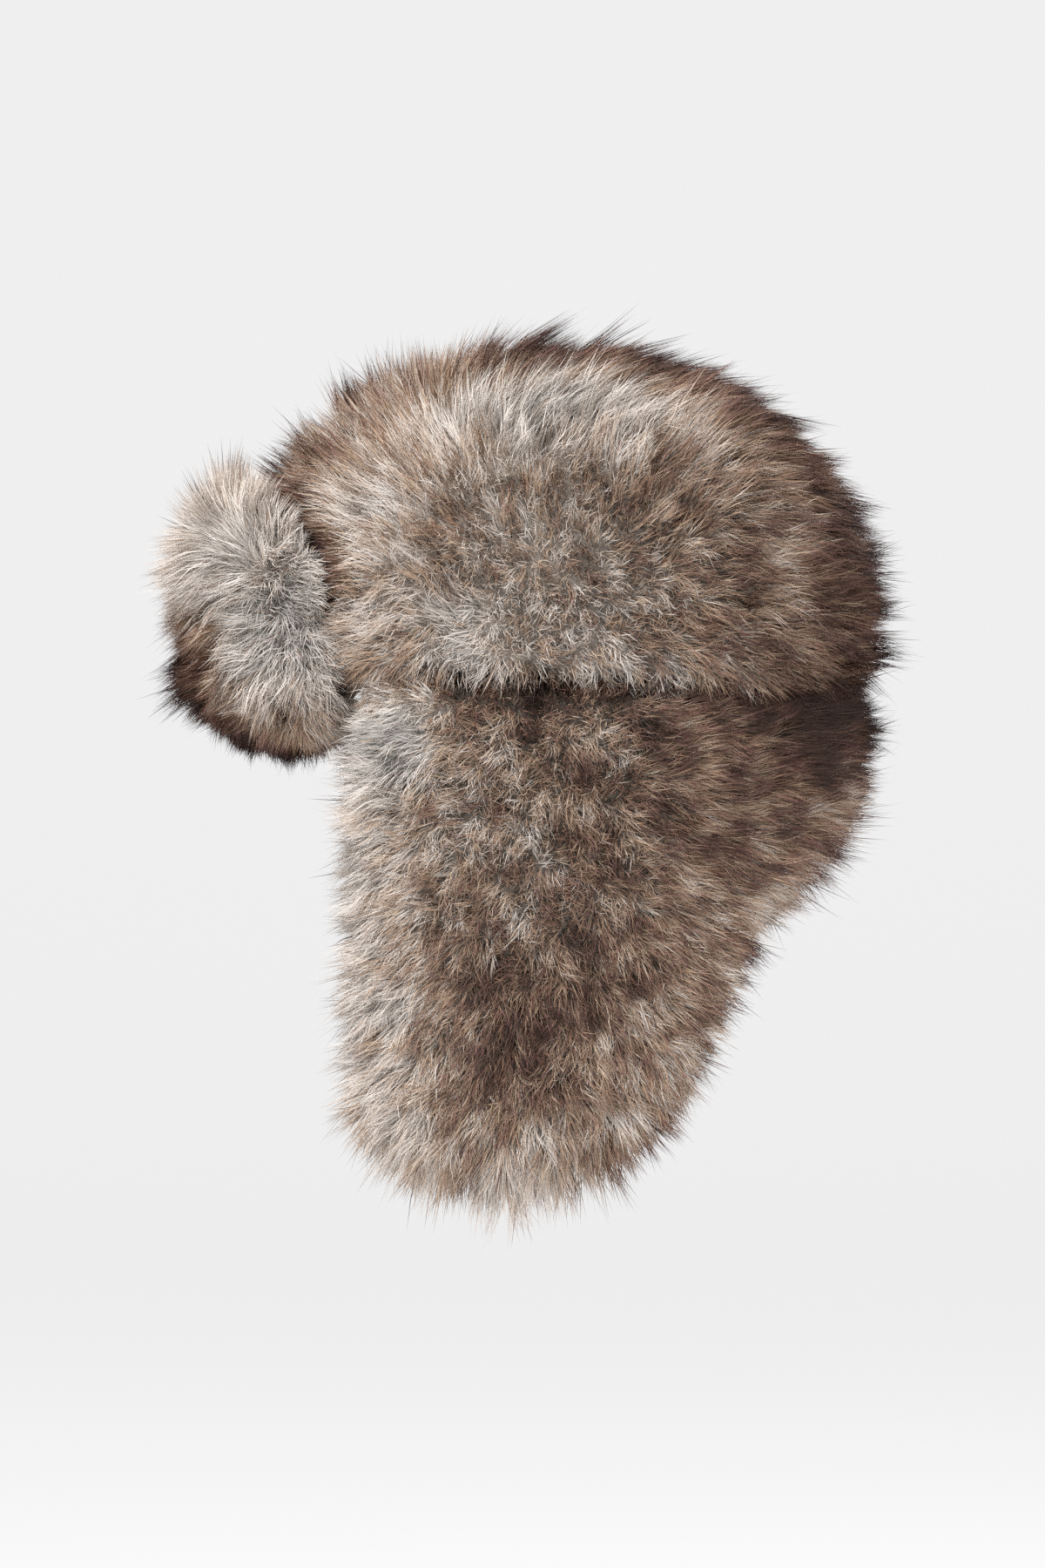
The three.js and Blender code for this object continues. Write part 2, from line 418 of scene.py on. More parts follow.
@dataclass(frozen=True)
class HairFinish(Finish):
    """Hair of several kinds, side by side in the colour map, each with its own colours from root to tip."""

    kinds: tuple[tuple[RampStop, ...], ...] = ()

    def material(self) -> bpy.types.Material:
        """The finish as a material, which reads tone and share of length from the hair's own map.

        Returns:
            The material.
        """
        material, tree, shader = self.blank()
        chart = tree.nodes.new("ShaderNodeUVMap")
        chart.uv_map = COLOUR_MAP
        parts = tree.nodes.new("ShaderNodeSeparateXYZ")
        tree.links.new(chart.outputs["UV"], parts.inputs["Vector"])
        colour = ramp_node(tree, parts.outputs["Y"], self.kinds[0])
        for step, kind in enumerate(self.kinds[1:]):
            share = math_node(tree, "MULTIPLY_ADD", parts.outputs["X"], len(self.kinds) - 1, -step)
            colour = mix_node(tree, share, colour, ramp_node(tree, parts.outputs["Y"], kind))
        tree.links.new(colour, shader.inputs["Base Color"])
        return material


@dataclass(frozen=True)
class MottledFinish(Finish):
    """A dense matted base, mottled over a few millimetres, and as pale or as dark as the hair that stands in it."""

    pale: tuple[RampStop, ...] = ()
    dark: tuple[RampStop, ...] = ()
    spot: float = 0.004
    detail: float = 4.0
    bump: float = 0.4

    def material(self) -> bpy.types.Material:
        """The finish as a material on Object coordinates and on the base's own tone.

        Returns:
            The material.
        """
        material, tree, shader = self.blank()
        noise = noise_node(tree, 1.0 / self.spot, self.detail)
        tone = tree.nodes.new("ShaderNodeAttribute")
        tone.attribute_name = TONE
        pale, dark = (ramp_node(tree, noise, colours) for colours in (self.pale, self.dark))
        tree.links.new(mix_node(tree, tone.outputs["Fac"], pale, dark), shader.inputs["Base Color"])
        normal = bump_node(tree, noise, self.bump, self.spot / 2)
        tree.links.new(normal, shader.inputs["Normal"])
        return material


@dataclass(frozen=True)
class WovenFinish(Finish):
    """A plain woven cloth: two sets of fine ribs that cross, with a little mottling."""

    colours: tuple[RampStop, ...] = ()
    thread: float = 0.0011
    wander: float = 0.6
    mottle_scale: float = 60.0
    mottle_detail: float = 5.0
    weave_share: float = 0.45
    mottle_share: float = 0.6
    bump: float = 0.35

    def material(self) -> bpy.types.Material:
        """The finish as a material on Object coordinates.

        Returns:
            The material.
        """
        material, tree, shader = self.blank()
        where = tree.nodes.new("ShaderNodeTexCoord")
        heights = []
        for direction in ("Y", "Z"):
            wave = tree.nodes.new("ShaderNodeTexWave")
            wave.bands_direction = direction
            wave.inputs["Scale"].default_value = BANDS_PER_SCALE / self.thread
            wave.inputs["Distortion"].default_value = self.wander
            wave.inputs["Detail"].default_value = 1.0
            tree.links.new(where.outputs["Object"], wave.inputs["Vector"])
            heights.append(wave.outputs["Fac"])
        weave = math_node(tree, "MULTIPLY", *heights)
        noise = noise_node(tree, self.mottle_scale, self.mottle_detail)
        mottle = math_node(tree, "MULTIPLY", noise, self.mottle_share)
        blend = math_node(tree, "MULTIPLY_ADD", weave, self.weave_share, mottle)
        tree.links.new(ramp_node(tree, blend, self.colours), shader.inputs["Base Color"])
        normal = bump_node(tree, weave, self.bump, self.thread / 3)
        tree.links.new(normal, shader.inputs["Normal"])
        return material


def stops(*rows: tuple[float, float, float, float]) -> tuple[RampStop, ...]:
    """The stops of a ramp, from a share, a red, a green and a blue for each."""
    return tuple(RampStop(*row) for row in rows)


# The kinds of each hair, from the left of the colour map: grey, cream, sandy, brown with a dark tip, and deep brown.
UNDERFUR = HairFinish(
    name="underfur",
    roughness=0.75,
    specular=0.10,
    kinds=(
        stops((0.0, 158, 156, 155), (0.4, 180, 176, 172), (0.8, 186, 181, 175), (1.0, 184, 178, 172)),
        stops((0.0, 220, 211, 203), (0.3, 237, 229, 222), (0.6, 234, 226, 219), (1.0, 226, 217, 209)),
        stops((0.0, 148, 130, 116), (0.4, 187, 162, 138), (0.7, 190, 164, 138), (1.0, 176, 149, 124)),
        stops((0.0, 86, 73, 65), (0.35, 152, 121, 104), (0.7, 146, 110, 93), (1.0, 106, 76, 63)),
        stops((0.0, 44, 36, 31), (0.5, 60, 46, 38), (1.0, 44, 31, 25)),
    ),
)
GUARD_HAIR = HairFinish(
    name="guard_hair",
    roughness=0.55,
    specular=0.2,
    kinds=(
        stops((0.0, 156, 154, 154), (0.4, 181, 177, 173), (0.75, 185, 180, 174), (1.0, 174, 168, 161)),
        stops((0.0, 220, 211, 203), (0.3, 238, 230, 223), (0.65, 235, 227, 220), (1.0, 219, 209, 201)),
        stops(
            (0.0, 148, 130, 116),
            (0.35, 189, 164, 139),
            (0.62, 190, 164, 138),
            (0.82, 160, 132, 109),
            (1.0, 126, 97, 83),
        ),
        stops((0.0, 94, 83, 76), (0.2, 192, 171, 154), (0.45, 170, 140, 121), (0.68, 113, 77, 71), (1.0, 81, 50, 51)),
        stops((0.0, 48, 39, 34), (0.4, 72, 55, 45), (0.7, 43, 29, 24), (1.0, 34, 22, 20)),
    ),
)
MATTED_BASE = MottledFinish(
    name="undercoat",
    roughness=0.9,
    specular=0.1,
    pale=stops((0.3, 184, 176, 168), (0.7, 228, 219, 209)),
    dark=stops((0.3, 48, 38, 31), (0.7, 80, 64, 51)),
)
BACKING = WovenFinish(
    name="backing_cloth",
    roughness=0.85,
    specular=0.15,
    colours=stops((0.2, 84, 74, 66), (0.8, 128, 114, 103)),
)


class Tree:
    """A Geometry Nodes tree in the making, with short calls for the nodes it is made of."""

    def __init__(self, name: str) -> None:
        """Starts an empty tree.

        Args:
            name: Its name.
        """
        self.group = bpy.data.node_groups.new(name, "GeometryNodeTree")

    def declare(self, inputs: dict[str, str]) -> dict[str, Socket]:
        """Gives the tree its named inputs and its geometry output.

        Args:
            inputs: The kind of socket of each input, by name.

        Returns:
            The sockets that bring them in, by name.
        """
        for name, kind in inputs.items():
            self.group.interface.new_socket(name=name, in_out="INPUT", socket_type=kind)
        self.group.interface.new_socket(name="Geometry", in_out="OUTPUT", socket_type="NodeSocketGeometry")
        inlet = self.group.nodes.new("NodeGroupInput")
        return {name: inlet.outputs[name] for name in inputs}

    def finish(self, geometry: Socket) -> None:
        """Sends a geometry out of the tree."""
        self.group.links.new(geometry, self.group.nodes.new("NodeGroupOutput").inputs["Geometry"])

    def node(self, kind: str, inputs: dict[Any, Any] | None = None, **settings: Any) -> bpy.types.Node:
        """Adds a node.

        Args:
            kind: Its type.
            inputs: A value or a socket for each of its inputs, by name or by number.
            **settings: Its own properties.

        Returns:
            The node.
        """
        node = self.group.nodes.new(kind)
        for name, value in settings.items():
            setattr(node, name, value)
        for key, value in (inputs or {}).items():
            socket = node.inputs[key] if isinstance(key, int) else self._enabled(node.inputs, key)
            if isinstance(value, Socket):
                self.group.links.new(value, socket)
            else:
                socket.default_value = value
        return node

    @staticmethod
    def _enabled(sockets: Any, name: str) -> Socket:
        """The socket of that name which the node's settings leave in use."""
        return next(s for s in sockets if s.name == name and s.enabled)

    def out(self, node: bpy.types.Node, name: str | None = None) -> Socket:
        """A node's output in use: the named one, or the first."""
        return next(s for s in node.outputs if s.enabled and name in (None, s.name))

    def math(self, operation: str, *values: Any) -> Socket:
        """A number worked out from others."""
        return self.node("ShaderNodeMath", dict(enumerate(values)), operation=operation).outputs[0]

    def vector(self, operation: str, *values: Any) -> Socket:
        """A vector worked out from others."""
        return self.out(self.node("ShaderNodeVectorMath", dict(enumerate(values)), operation=operation))

    def scaled(self, vector: Any, by: Any) -> Socket:
        """A vector times a number."""
        return self.out(self.node("ShaderNodeVectorMath", {"Vector": vector, "Scale": by}, operation="SCALE"))

    def attribute(self, name: str, kind: str = "FLOAT") -> Socket:
        """A named attribute of the geometry."""
        return self.out(self.node("GeometryNodeInputNamedAttribute", {"Name": name}, data_type=kind), "Attribute")

    def store(self, geometry: Any, name: str, value: Any, kind: str = "FLOAT", domain: str = "POINT") -> Any:
        """Keeps a value on the geometry under a name.

        Args:
            geometry: The geometry.
            name: The attribute's name.
            value: What is kept.
            kind: Its data type.
            domain: What each value belongs to.

        Returns:
            The geometry with the attribute.
        """
        inputs = {"Geometry": geometry, "Name": name, "Value": value}
        node = self.node("GeometryNodeStoreNamedAttribute", inputs, data_type=kind, domain=domain)
        return self.out(node, "Geometry")

    def random(self, low: float, high: float, seed: Any) -> Socket:
        """An even random number for each element."""
        inputs = {"Min": low, "Max": high, "Seed": seed}
        return self.out(self.node("FunctionNodeRandomValue", inputs, data_type="FLOAT"))

    def random_vector(self, reach: float, seed: Any) -> Socket:
        """A random vector for each element, within reach along each axis."""
        inputs = {"Min": (-reach,) * 3, "Max": (reach,) * 3, "Seed": seed}
        return self.out(self.node("FunctionNodeRandomValue", inputs, data_type="FLOAT_VECTOR"))

    def noise(self, place: Any, size: float, detail: float = 2.0) -> bpy.types.Node:
        """A smooth noise whose waves are about that size."""
        inputs = {"Vector": place, "Scale": 1.0 / size, "Detail": detail}
        return self.node("ShaderNodeTexNoise", inputs)


class Draw(Enum):
    """What is added to the seed for each random draw."""

    ROOT = 0.0
    LOCK = 100.0
    TUFT = 110.0
    SWAY = 400.0
    LENGTH = 500.0
    WIDTH = 600.0
    TONE = 700.0
    STRAY = 800.0
    ODD = 900.0


@dataclass(frozen=True)
class Ridged:
    """A number off the ridge, and how much is added to it on the ridge."""

    usual: float
    change: float


@dataclass(frozen=True)
class Variety:
    """How the hair varies from place to place, from lock to lock and from hair to hair. Sizes are metres."""

    gathered: Ridged = Ridged(1.0, -0.65)
    swirl: float = 2.8
    swirl_size: float = 0.014
    swirl_share: Ridged = Ridged(1.0, -0.45)
    lock_sway: float = 0.45
    tuft_sway: float = 0.65
    own_sway: float = 0.35
    own_sway_share: Ridged = Ridged(1.0, -0.75)
    most_combed: float = 2.1
    wave_size: float = 0.011
    wave: float = 0.5
    wave_low: float = 0.75
    lock_longer: float = 0.09
    tuft_longer: Ridged = Ridged(0.07, 0.16)
    straggling: float = 0.12
    straggling_power: float = 12.0
    longest: float = 1.05
    shorter: Ridged = Ridged(0.46, -0.18)
    odd_power: float = 20.0
    odd_longer: float = 0.18
    odd_darker: float = 1.2
    turned: Ridged = Ridged(0.6, 0.5)
    half_width: tuple[float, float] = (0.35, 0.65)
    mottle_size: float = 0.015
    mottle_detail: float = 3.0
    mottle_share: Ridged = Ridged(1.0, -0.6)
    lock_tone: Ridged = Ridged(0.18, 0.08)
    tuft_tone: float = 0.28
    tone_varied: float = 2.2
    tone_varied_least: float = 0.18
    map_edges: tuple[float, float] = (0.02, 0.98)
    matting: float = 0.7
    matting_least: float = 0.5
    ridge_lock: float = 0.15
    ridge_tuft: float = 0.4
    stray_share: Ridged = Ridged(1.0, -0.82)
    lift: Ridged = Ridged(0.9, -0.6)
    row_spacing: float = 0.8
    taper_power: float = 3.0
    tip_joined: float = 0.0001
    pull_power: float = 1.4
    blade_shade: float = 0.004


@dataclass(frozen=True)
class Gathering:
    """For each hair, the place that it gathers at, that place's chance from -1 to 1, and its sway."""

    place: Socket
    chance: Socket
    sway: Socket


class FurTree:
    """The Geometry Nodes tree that makes hair stand on a skin.

    It scatters roots, gathers the hairs into locks, bends each from its root to its tip, and makes each a thin
    tapered blade. The skin carries which way is up, the way the hair is combed, its length and its tone. The tree
    keeps each hair's place, its lock and its tuft, and how far it is one of the few that are longer and darker.
    """

    # The sizes of a sort of hair that the tree takes as they are.
    SIZES = (
        "length",
        "width",
        "root_lean",
        "tip_lean",
        "lock_pull",
        "tuft_pull",
        "stray",
        "mixture",
        "paler",
        "mottle",
    )
    INPUTS = {
        "geometry": "NodeSocketGeometry",
        **dict.fromkeys(("density", "lock_density", "tuft_density", *SIZES), "NodeSocketFloat"),
        "segments": "NodeSocketInt",
        "seed": "NodeSocketInt",
        "material": "NodeSocketMaterial",
    }

    def __init__(self) -> None:
        """Builds the tree."""
        self.tree = Tree("fur")
        self.vary = Variety()
        self.given = self.tree.declare(self.INPUTS)
        self.ridge = self.tree.attribute("ridge")
        self.place = self.tree.out(self.tree.node("GeometryNodeInputPosition"))
        self.up = self.tree.attribute("up", "FLOAT_VECTOR")
        finer = self._ridged(self.vary.gathered)
        self.lock = self._gathered(self.tree.math("MULTIPLY", self.given["lock_density"], finer), Draw.LOCK)
        self.tuft = self._gathered(self.tree.math("MULTIPLY", self.given["tuft_density"], finer), Draw.TUFT)
        self.odd = self.tree.math("POWER", self.tree.random(0.0, 1.0, self._seed(Draw.ODD)), self.vary.odd_power)
        self._stand(self._roots(), self._blade())
        self.identifiers = {
            item.name: item.identifier for item in self.tree.group.interface.items_tree if item.in_out == "INPUT"
        }

    def _seed(self, draw: Draw, further: float = 0.0) -> Socket:
        """The seed of a random draw."""
        return self.tree.math("ADD", self.given["seed"], draw.value + further)

    def _ridged(self, number: Ridged) -> Socket:
        """A number that changes towards the ridge."""
        return self.tree.math("MULTIPLY_ADD", self.ridge, number.change, number.usual)

    def _scattered(self, density: Any, draw: Draw) -> Socket:
        """Points scattered over the skin, so many for each square metre.

        Args:
            density: How many of them there are for each square metre.
            draw: Which random draw they come from.

        Returns:
            The points.
        """
        scatter = {"Mesh": self.given["geometry"], "Density": density, "Seed": self._seed(draw)}
        node = self.tree.node("GeometryNodeDistributePointsOnFaces", scatter, distribute_method="RANDOM")
        return self.tree.out(node, "Points")

    def _roots(self) -> Socket:
        """The hairs' roots, each with the shape and the tone of its hair.

        Returns:
            The roots as points.
        """
        t, given, vary = self.tree, self.given, self.vary
        points = self._scattered(given["density"], Draw.ROOT)
        combed, strength = self._combed()
        half = t.math("MULTIPLY", self._length(), 0.5)
        flatter = t.math("MULTIPLY", t.attribute("flatness"), t.math("MINIMUM", strength, vary.most_combed))
        rise, reach = (
            t.scaled(self._leaning(combed, t.math("MULTIPLY", given[lean], flatter)), half)
            for lean in ("root_lean", "tip_lean")
        )
        stray = t.math("MULTIPLY", given["stray"], self._ridged(vary.stray_share))
        kept = {
            "root": self.place,
            "rise": rise,
            "reach": reach,
            "pull": self._pull(),
            "side": self._side(combed, t.vector("ADD", rise, reach)),
            "stray": t.scaled(t.random_vector(1.0, self._seed(Draw.STRAY)), stray),
            "lift": t.scaled(self.up, self._ridged(vary.lift)),
        }
        for name, value in kept.items():
            points = t.store(points, name, value, "FLOAT_VECTOR")
        return t.store(points, "shade", self._shade())

    def _gathered(self, density: Any, draw: Draw) -> Gathering:
        """Scatters places that hairs gather at, and finds the nearest to each hair.

        Args:
            density: How many of them there are for each square metre.
            draw: Which random draw they come from.

        Returns:
            What each hair has from the nearest of them.
        """
        t = self.tree
        points = self._scattered(density, draw)
        nearest = t.out(t.node("GeometryNodeSampleNearest", {"Geometry": points}))

        def sampled(value: Any, kind: str) -> Socket:
            inputs = {"Geometry": points, "Value": value, "Index": nearest}
            return t.out(t.node("GeometryNodeSampleIndex", inputs, data_type=kind))

        return Gathering(
            place=sampled(self.place, "FLOAT_VECTOR"),
            chance=sampled(t.random(-1.0, 1.0, self._seed(draw, CHANCE_FURTHER)), "FLOAT"),
            sway=sampled(t.random_vector(1.0, self._seed(draw, SWAY_FURTHER)), "FLOAT_VECTOR"),
        )

    def _combed(self) -> tuple[Any, Any]:
        """Which way each hair is combed along the skin.

        Returns:
            The direction, and how strongly it is combed.
        """
        t, vary = self.tree, self.vary
        swirl = t.vector("SUBTRACT", t.noise(self.place, vary.swirl_size).outputs["Color"], (0.5, 0.5, 0.5))
        swirl = t.scaled(swirl, self._ridged(vary.swirl_share))
        sway = t.vector("ADD", t.scaled(self.lock.sway, vary.lock_sway), t.scaled(self.tuft.sway, vary.tuft_sway))
        sway = t.vector("ADD", t.scaled(swirl, vary.swirl), sway)
        combed = t.vector("ADD", t.attribute("comb", "FLOAT_VECTOR"), sway)
        own_sway = t.random_vector(vary.own_sway, self._seed(Draw.SWAY))
        combed = t.vector("ADD", combed, t.scaled(own_sway, self._ridged(vary.own_sway_share)))
        upward = t.out(t.node("ShaderNodeVectorMath", {0: combed, 1: self.up}, operation="DOT_PRODUCT"), "Value")
        combed = t.vector("SUBTRACT", combed, t.scaled(self.up, upward))
        strength = t.out(t.node("ShaderNodeVectorMath", {0: combed}, operation="LENGTH"), "Value")
        return t.vector("NORMALIZE", combed), strength

    def _length(self) -> Socket:
        """The length of each hair.

        Returns:
            The length in metres.
        """
        t, given, vary = self.tree, self.given, self.vary
        uneven = t.math("MULTIPLY_ADD", t.noise(self.place, vary.wave_size).outputs[0], vary.wave, vary.wave_low)
        uneven = t.math("MULTIPLY_ADD", self.lock.chance, vary.lock_longer, uneven)
        uneven = t.math("MULTIPLY_ADD", self.tuft.chance, self._ridged(vary.tuft_longer), uneven)
        each = t.random(0.0, 1.0, self._seed(Draw.LENGTH))
        straggling = t.math("POWER", each, vary.straggling_power)
        straggling = t.math("MULTIPLY_ADD", straggling, vary.straggling, vary.longest)
        shorter = t.math("MULTIPLY", t.math("SUBTRACT", 1.0, each), self._ridged(vary.shorter))
        each = t.math("SUBTRACT", straggling, shorter)
        length = t.math("MULTIPLY", t.math("MULTIPLY", given["length"], t.attribute("length")), uneven)
        longer = t.math("MULTIPLY_ADD", self.odd, vary.odd_longer, 1.0)
        return t.math("MULTIPLY", t.math("MULTIPLY", length, each), longer)

    def _side(self, combed: Any, axis: Any) -> Socket:
        """Half of each blade's width, as a vector across it.

        Args:
            combed: Which way the hair is combed.
            axis: The line from its root to its tip, which the blade is turned about.

        Returns:
            The vector.
        """
        t, given, vary = self.tree, self.given, self.vary
        turned = t.math("MULTIPLY", t.random(-1.0, 1.0, self._seed(Draw.ROOT)), self._ridged(vary.turned))
        turning = {"Vector": t.vector("CROSS_PRODUCT", self.up, combed), "Axis": axis, "Angle": turned}
        side = t.out(t.node("ShaderNodeVectorRotate", turning, rotation_type="AXIS_ANGLE"))
        thick = t.math("MULTIPLY", given["width"], t.random(*vary.half_width, self._seed(Draw.WIDTH)))
        return t.scaled(t.vector("NORMALIZE", side), thick)

    def _shade(self) -> Socket:
        """Each hair's place across the colour map, from its tone.

        Returns:
            The self.place, from 0, pale, to 1, dark.
        """
        t, given, vary = self.tree, self.given, self.vary
        tone = t.attribute(TONE)
        mottle = t.math("SUBTRACT", t.noise(self.place, vary.mottle_size, vary.mottle_detail).outputs[0], 0.5)
        shade = t.math("MULTIPLY", mottle, t.math("MULTIPLY", given["mottle"], self._ridged(vary.mottle_share)))
        shade = t.math("MULTIPLY_ADD", self.lock.chance, self._ridged(vary.lock_tone), shade)
        shade = t.math("MULTIPLY_ADD", self.tuft.chance, vary.tuft_tone, shade)
        chance = t.random(-0.5, 0.5, self._seed(Draw.TONE))
        shade = t.math("MULTIPLY_ADD", chance, given["mixture"], shade)
        varied = t.math("MULTIPLY_ADD", t.math("MULTIPLY", tone, tone), vary.tone_varied, vary.tone_varied_least)
        shade = t.math("MULTIPLY_ADD", shade, t.math("MINIMUM", varied, 1.0), tone)
        shade = t.math("SUBTRACT", t.math("MULTIPLY_ADD", self.odd, vary.odd_darker, shade), given["paler"])
        left, right = vary.map_edges
        return t.math("MINIMUM", t.math("MAXIMUM", t.math("MULTIPLY", shade, MAP_SHARE), left), right)

    def _pull(self) -> Socket:
        """How far each hair's tip is drawn towards its lock's and its tuft's, less where the fur is pale.

        Returns:
            The tip's offset.
        """
        t, given, vary = self.tree, self.given, self.vary
        matted = t.math("MAXIMUM", t.attribute(TONE), self.ridge)
        matted = t.math("MINIMUM", t.math("MULTIPLY_ADD", matted, vary.matting, vary.matting_least), 1.0)
        lock_pull = t.math("MULTIPLY", given["lock_pull"], t.math("MULTIPLY_ADD", self.ridge, vary.ridge_lock, matted))
        tuft_pull = t.math("MULTIPLY", given["tuft_pull"], t.math("MULTIPLY_ADD", self.ridge, vary.ridge_tuft, matted))
        pull = t.scaled(t.vector("SUBTRACT", self.lock.place, self.place), lock_pull)
        return t.vector("ADD", pull, t.scaled(t.vector("SUBTRACT", self.tuft.place, self.lock.place), tuft_pull))

    def _leaning(self, combed: Any, degrees: Any) -> Socket:
        """A direction that leans from up towards the way the hair is combed.

        Args:
            combed: Which way the hair is combed.
            degrees: How far it leans.

        Returns:
            The direction.
        """
        t = self.tree
        angle = t.math("RADIANS", degrees)
        return t.vector("ADD", t.scaled(self.up, t.math("COSINE", angle)), t.scaled(combed, t.math("SINE", angle)))

    def _blade(self) -> Socket:
        """One hair as a flat tapered blade, which knows the share along it and the share across it.

        Returns:
            The blade.
        """
        t, given = self.tree, self.given
        rows = t.math("ADD", given["segments"], 1.0)
        grid = t.node("GeometryNodeMeshGrid", {"Size X": 2.0, "Size Y": 1.0, "Vertices X": 2, "Vertices Y": rows})
        parts = t.node("ShaderNodeSeparateXYZ", {"Vector": t.out(t.node("GeometryNodeInputPosition"))})
        along = t.math("POWER", t.math("ADD", parts.outputs["Y"], 0.5), self.vary.row_spacing)
        taper = t.math("SUBTRACT", 1.0, t.math("POWER", along, self.vary.taper_power))
        across = t.math("MULTIPLY", parts.outputs["X"], taper)
        place = t.out(t.node("ShaderNodeCombineXYZ", {"X": across, "Y": along}))
        shaped = t.out(t.node("GeometryNodeSetPosition", {"Geometry": t.out(grid, "Mesh"), "Position": place}))
        merge = {"Geometry": shaped, "Distance": self.vary.tip_joined}
        joined = t.out(t.node("GeometryNodeMergeByDistance", merge))
        parts = t.node("ShaderNodeSeparateXYZ", {"Vector": t.out(t.node("GeometryNodeInputPosition"))})
        marked = t.store(joined, "across", t.math("MULTIPLY", parts.outputs["X"], -1.0))
        return t.store(marked, "along", parts.outputs["Y"])

    def _stand(self, roots: Socket, blade: Socket) -> None:
        """Puts a blade on each root and bends it to its shape.

        Args:
            roots: The roots.
            blade: The blade.
        """
        t = self.tree
        placed = t.out(t.node("GeometryNodeInstanceOnPoints", {"Points": roots, "Instance": blade}))
        hairs = t.out(t.node("GeometryNodeRealizeInstances", {"Geometry": placed}))
        along, across = t.attribute("along"), t.attribute("across")
        squared = t.math("MULTIPLY", along, along)
        early = t.math("MULTIPLY", t.math("SUBTRACT", along, squared), 2.0)
        rise, reach = t.attribute("rise", "FLOAT_VECTOR"), t.attribute("reach", "FLOAT_VECTOR")
        place = t.vector("ADD", t.attribute("root", "FLOAT_VECTOR"), t.scaled(rise, early))
        place = t.vector("ADD", place, t.scaled(t.vector("ADD", rise, reach), squared))
        drawn = t.math("POWER", along, self.vary.pull_power)
        for name, share in {"pull": drawn, "stray": squared, "side": across}.items():
            place = t.vector("ADD", place, t.scaled(t.attribute(name, "FLOAT_VECTOR"), share))
        hairs = t.out(t.node("GeometryNodeSetPosition", {"Geometry": hairs, "Position": place}))
        column = t.math("MULTIPLY_ADD", across, self.vary.blade_shade, t.attribute("shade"))
        chart = t.out(t.node("ShaderNodeCombineXYZ", {"X": column, "Y": along}))
        hairs = t.store(hairs, COLOUR_MAP, chart, "FLOAT2", "CORNER")
        hairs = t.out(t.node("GeometryNodeSetShadeSmooth", {"Geometry": hairs}))
        facing = t.vector("ADD", t.out(t.node("GeometryNodeInputNormal")), t.attribute("lift", "FLOAT_VECTOR"))
        facing = {"Mesh": hairs, "Custom Normal": t.vector("NORMALIZE", facing)}
        hairs = t.out(t.node("GeometryNodeSetMeshNormal", facing, mode="FREE", domain="POINT"))
        t.finish(t.out(t.node("GeometryNodeSetMaterial", {"Geometry": hairs, "Material": self.given["material"]})))

    def grow(
        self, skin: bpy.types.Object, name: str, sort: HairSort, material: bpy.types.Material
    ) -> bpy.types.Object:
        """Grows hair on a skin.

        Args:
            skin: The skin's object, with its attributes.
            name: The name of the new piece.
            sort: The hair's sizes.
            material: Its finish.

        Returns:
            The hair as one plain mesh object.
        """
        values = {
            "density": sort.count / sum(face.area for face in skin.data.polygons),
            "lock_density": 1.0 / sort.lock**2,
            "tuft_density": 1.0 / sort.tuft**2,
            "segments": BLADE_SEGMENTS,
            "seed": sort.seed,
            "material": material,
            **{size: getattr(sort, size) for size in self.SIZES},
        }
        modifier = skin.modifiers.new(name, "NODES")
        modifier.node_group = self.tree.group
        for key, value in values.items():
            modifier[self.identifiers[key]] = value
        seen = skin.evaluated_get(bpy.context.evaluated_depsgraph_get())
        mesh = bpy.data.meshes.new_from_object(seen)
        skin.modifiers.remove(modifier)
        for attribute in [a.name for a in mesh.attributes if a.domain == "POINT" and not a.is_internal]:
            if attribute not in ("position", "custom_normal"):
                mesh.attributes.remove(mesh.attributes[attribute])
        mesh.name = name
        hair = bpy.data.objects.new(name, mesh)
        bpy.context.scene.collection.objects.link(hair)
        return hair


@dataclass
class Grid:
    """A sheet of points: columns that run upwards, with the number of rows the same in each."""

    points: Array
    wraps: bool = False

    @property
    def columns(self) -> int:
        """How many columns it has."""
        return self.points.shape[0]

    @property
    def rows(self) -> int:
        """How many rows it has."""
        return self.points.shape[1]

    def quads(self, start: int = 0, inward: bool = False) -> list[tuple[int, ...]]:
        """Its faces.

        Args:
            start: The number of its first point.
            inward: Whether the faces point the other way.

        Returns:
            The corners of each face.
        """
        spans = self.columns if self.wraps else self.columns - 1
        faces = []
        for i in range(spans):
            here, there = start + i * self.rows, start + ((i + 1) % self.columns) * self.rows
            for j in range(self.rows - 1):
                face = (here + j, there + j, there + j + 1, here + j + 1)
                faces.append(face[::-1] if inward else face)
        return faces

    def border(self) -> list[int]:
        """The numbers of the points round its edge, in order, for a sheet that doesn't wrap.

        Returns:
            The numbers.
        """
        last, top = (self.columns - 1) * self.rows, self.rows - 1
        foot = [i * self.rows for i in range(self.columns)]
        right = [last + j for j in range(1, self.rows)]
        head = [i * self.rows + top for i in range(self.columns - 2, -1, -1)]
        return foot + right + head + list(range(top - 1, 0, -1))


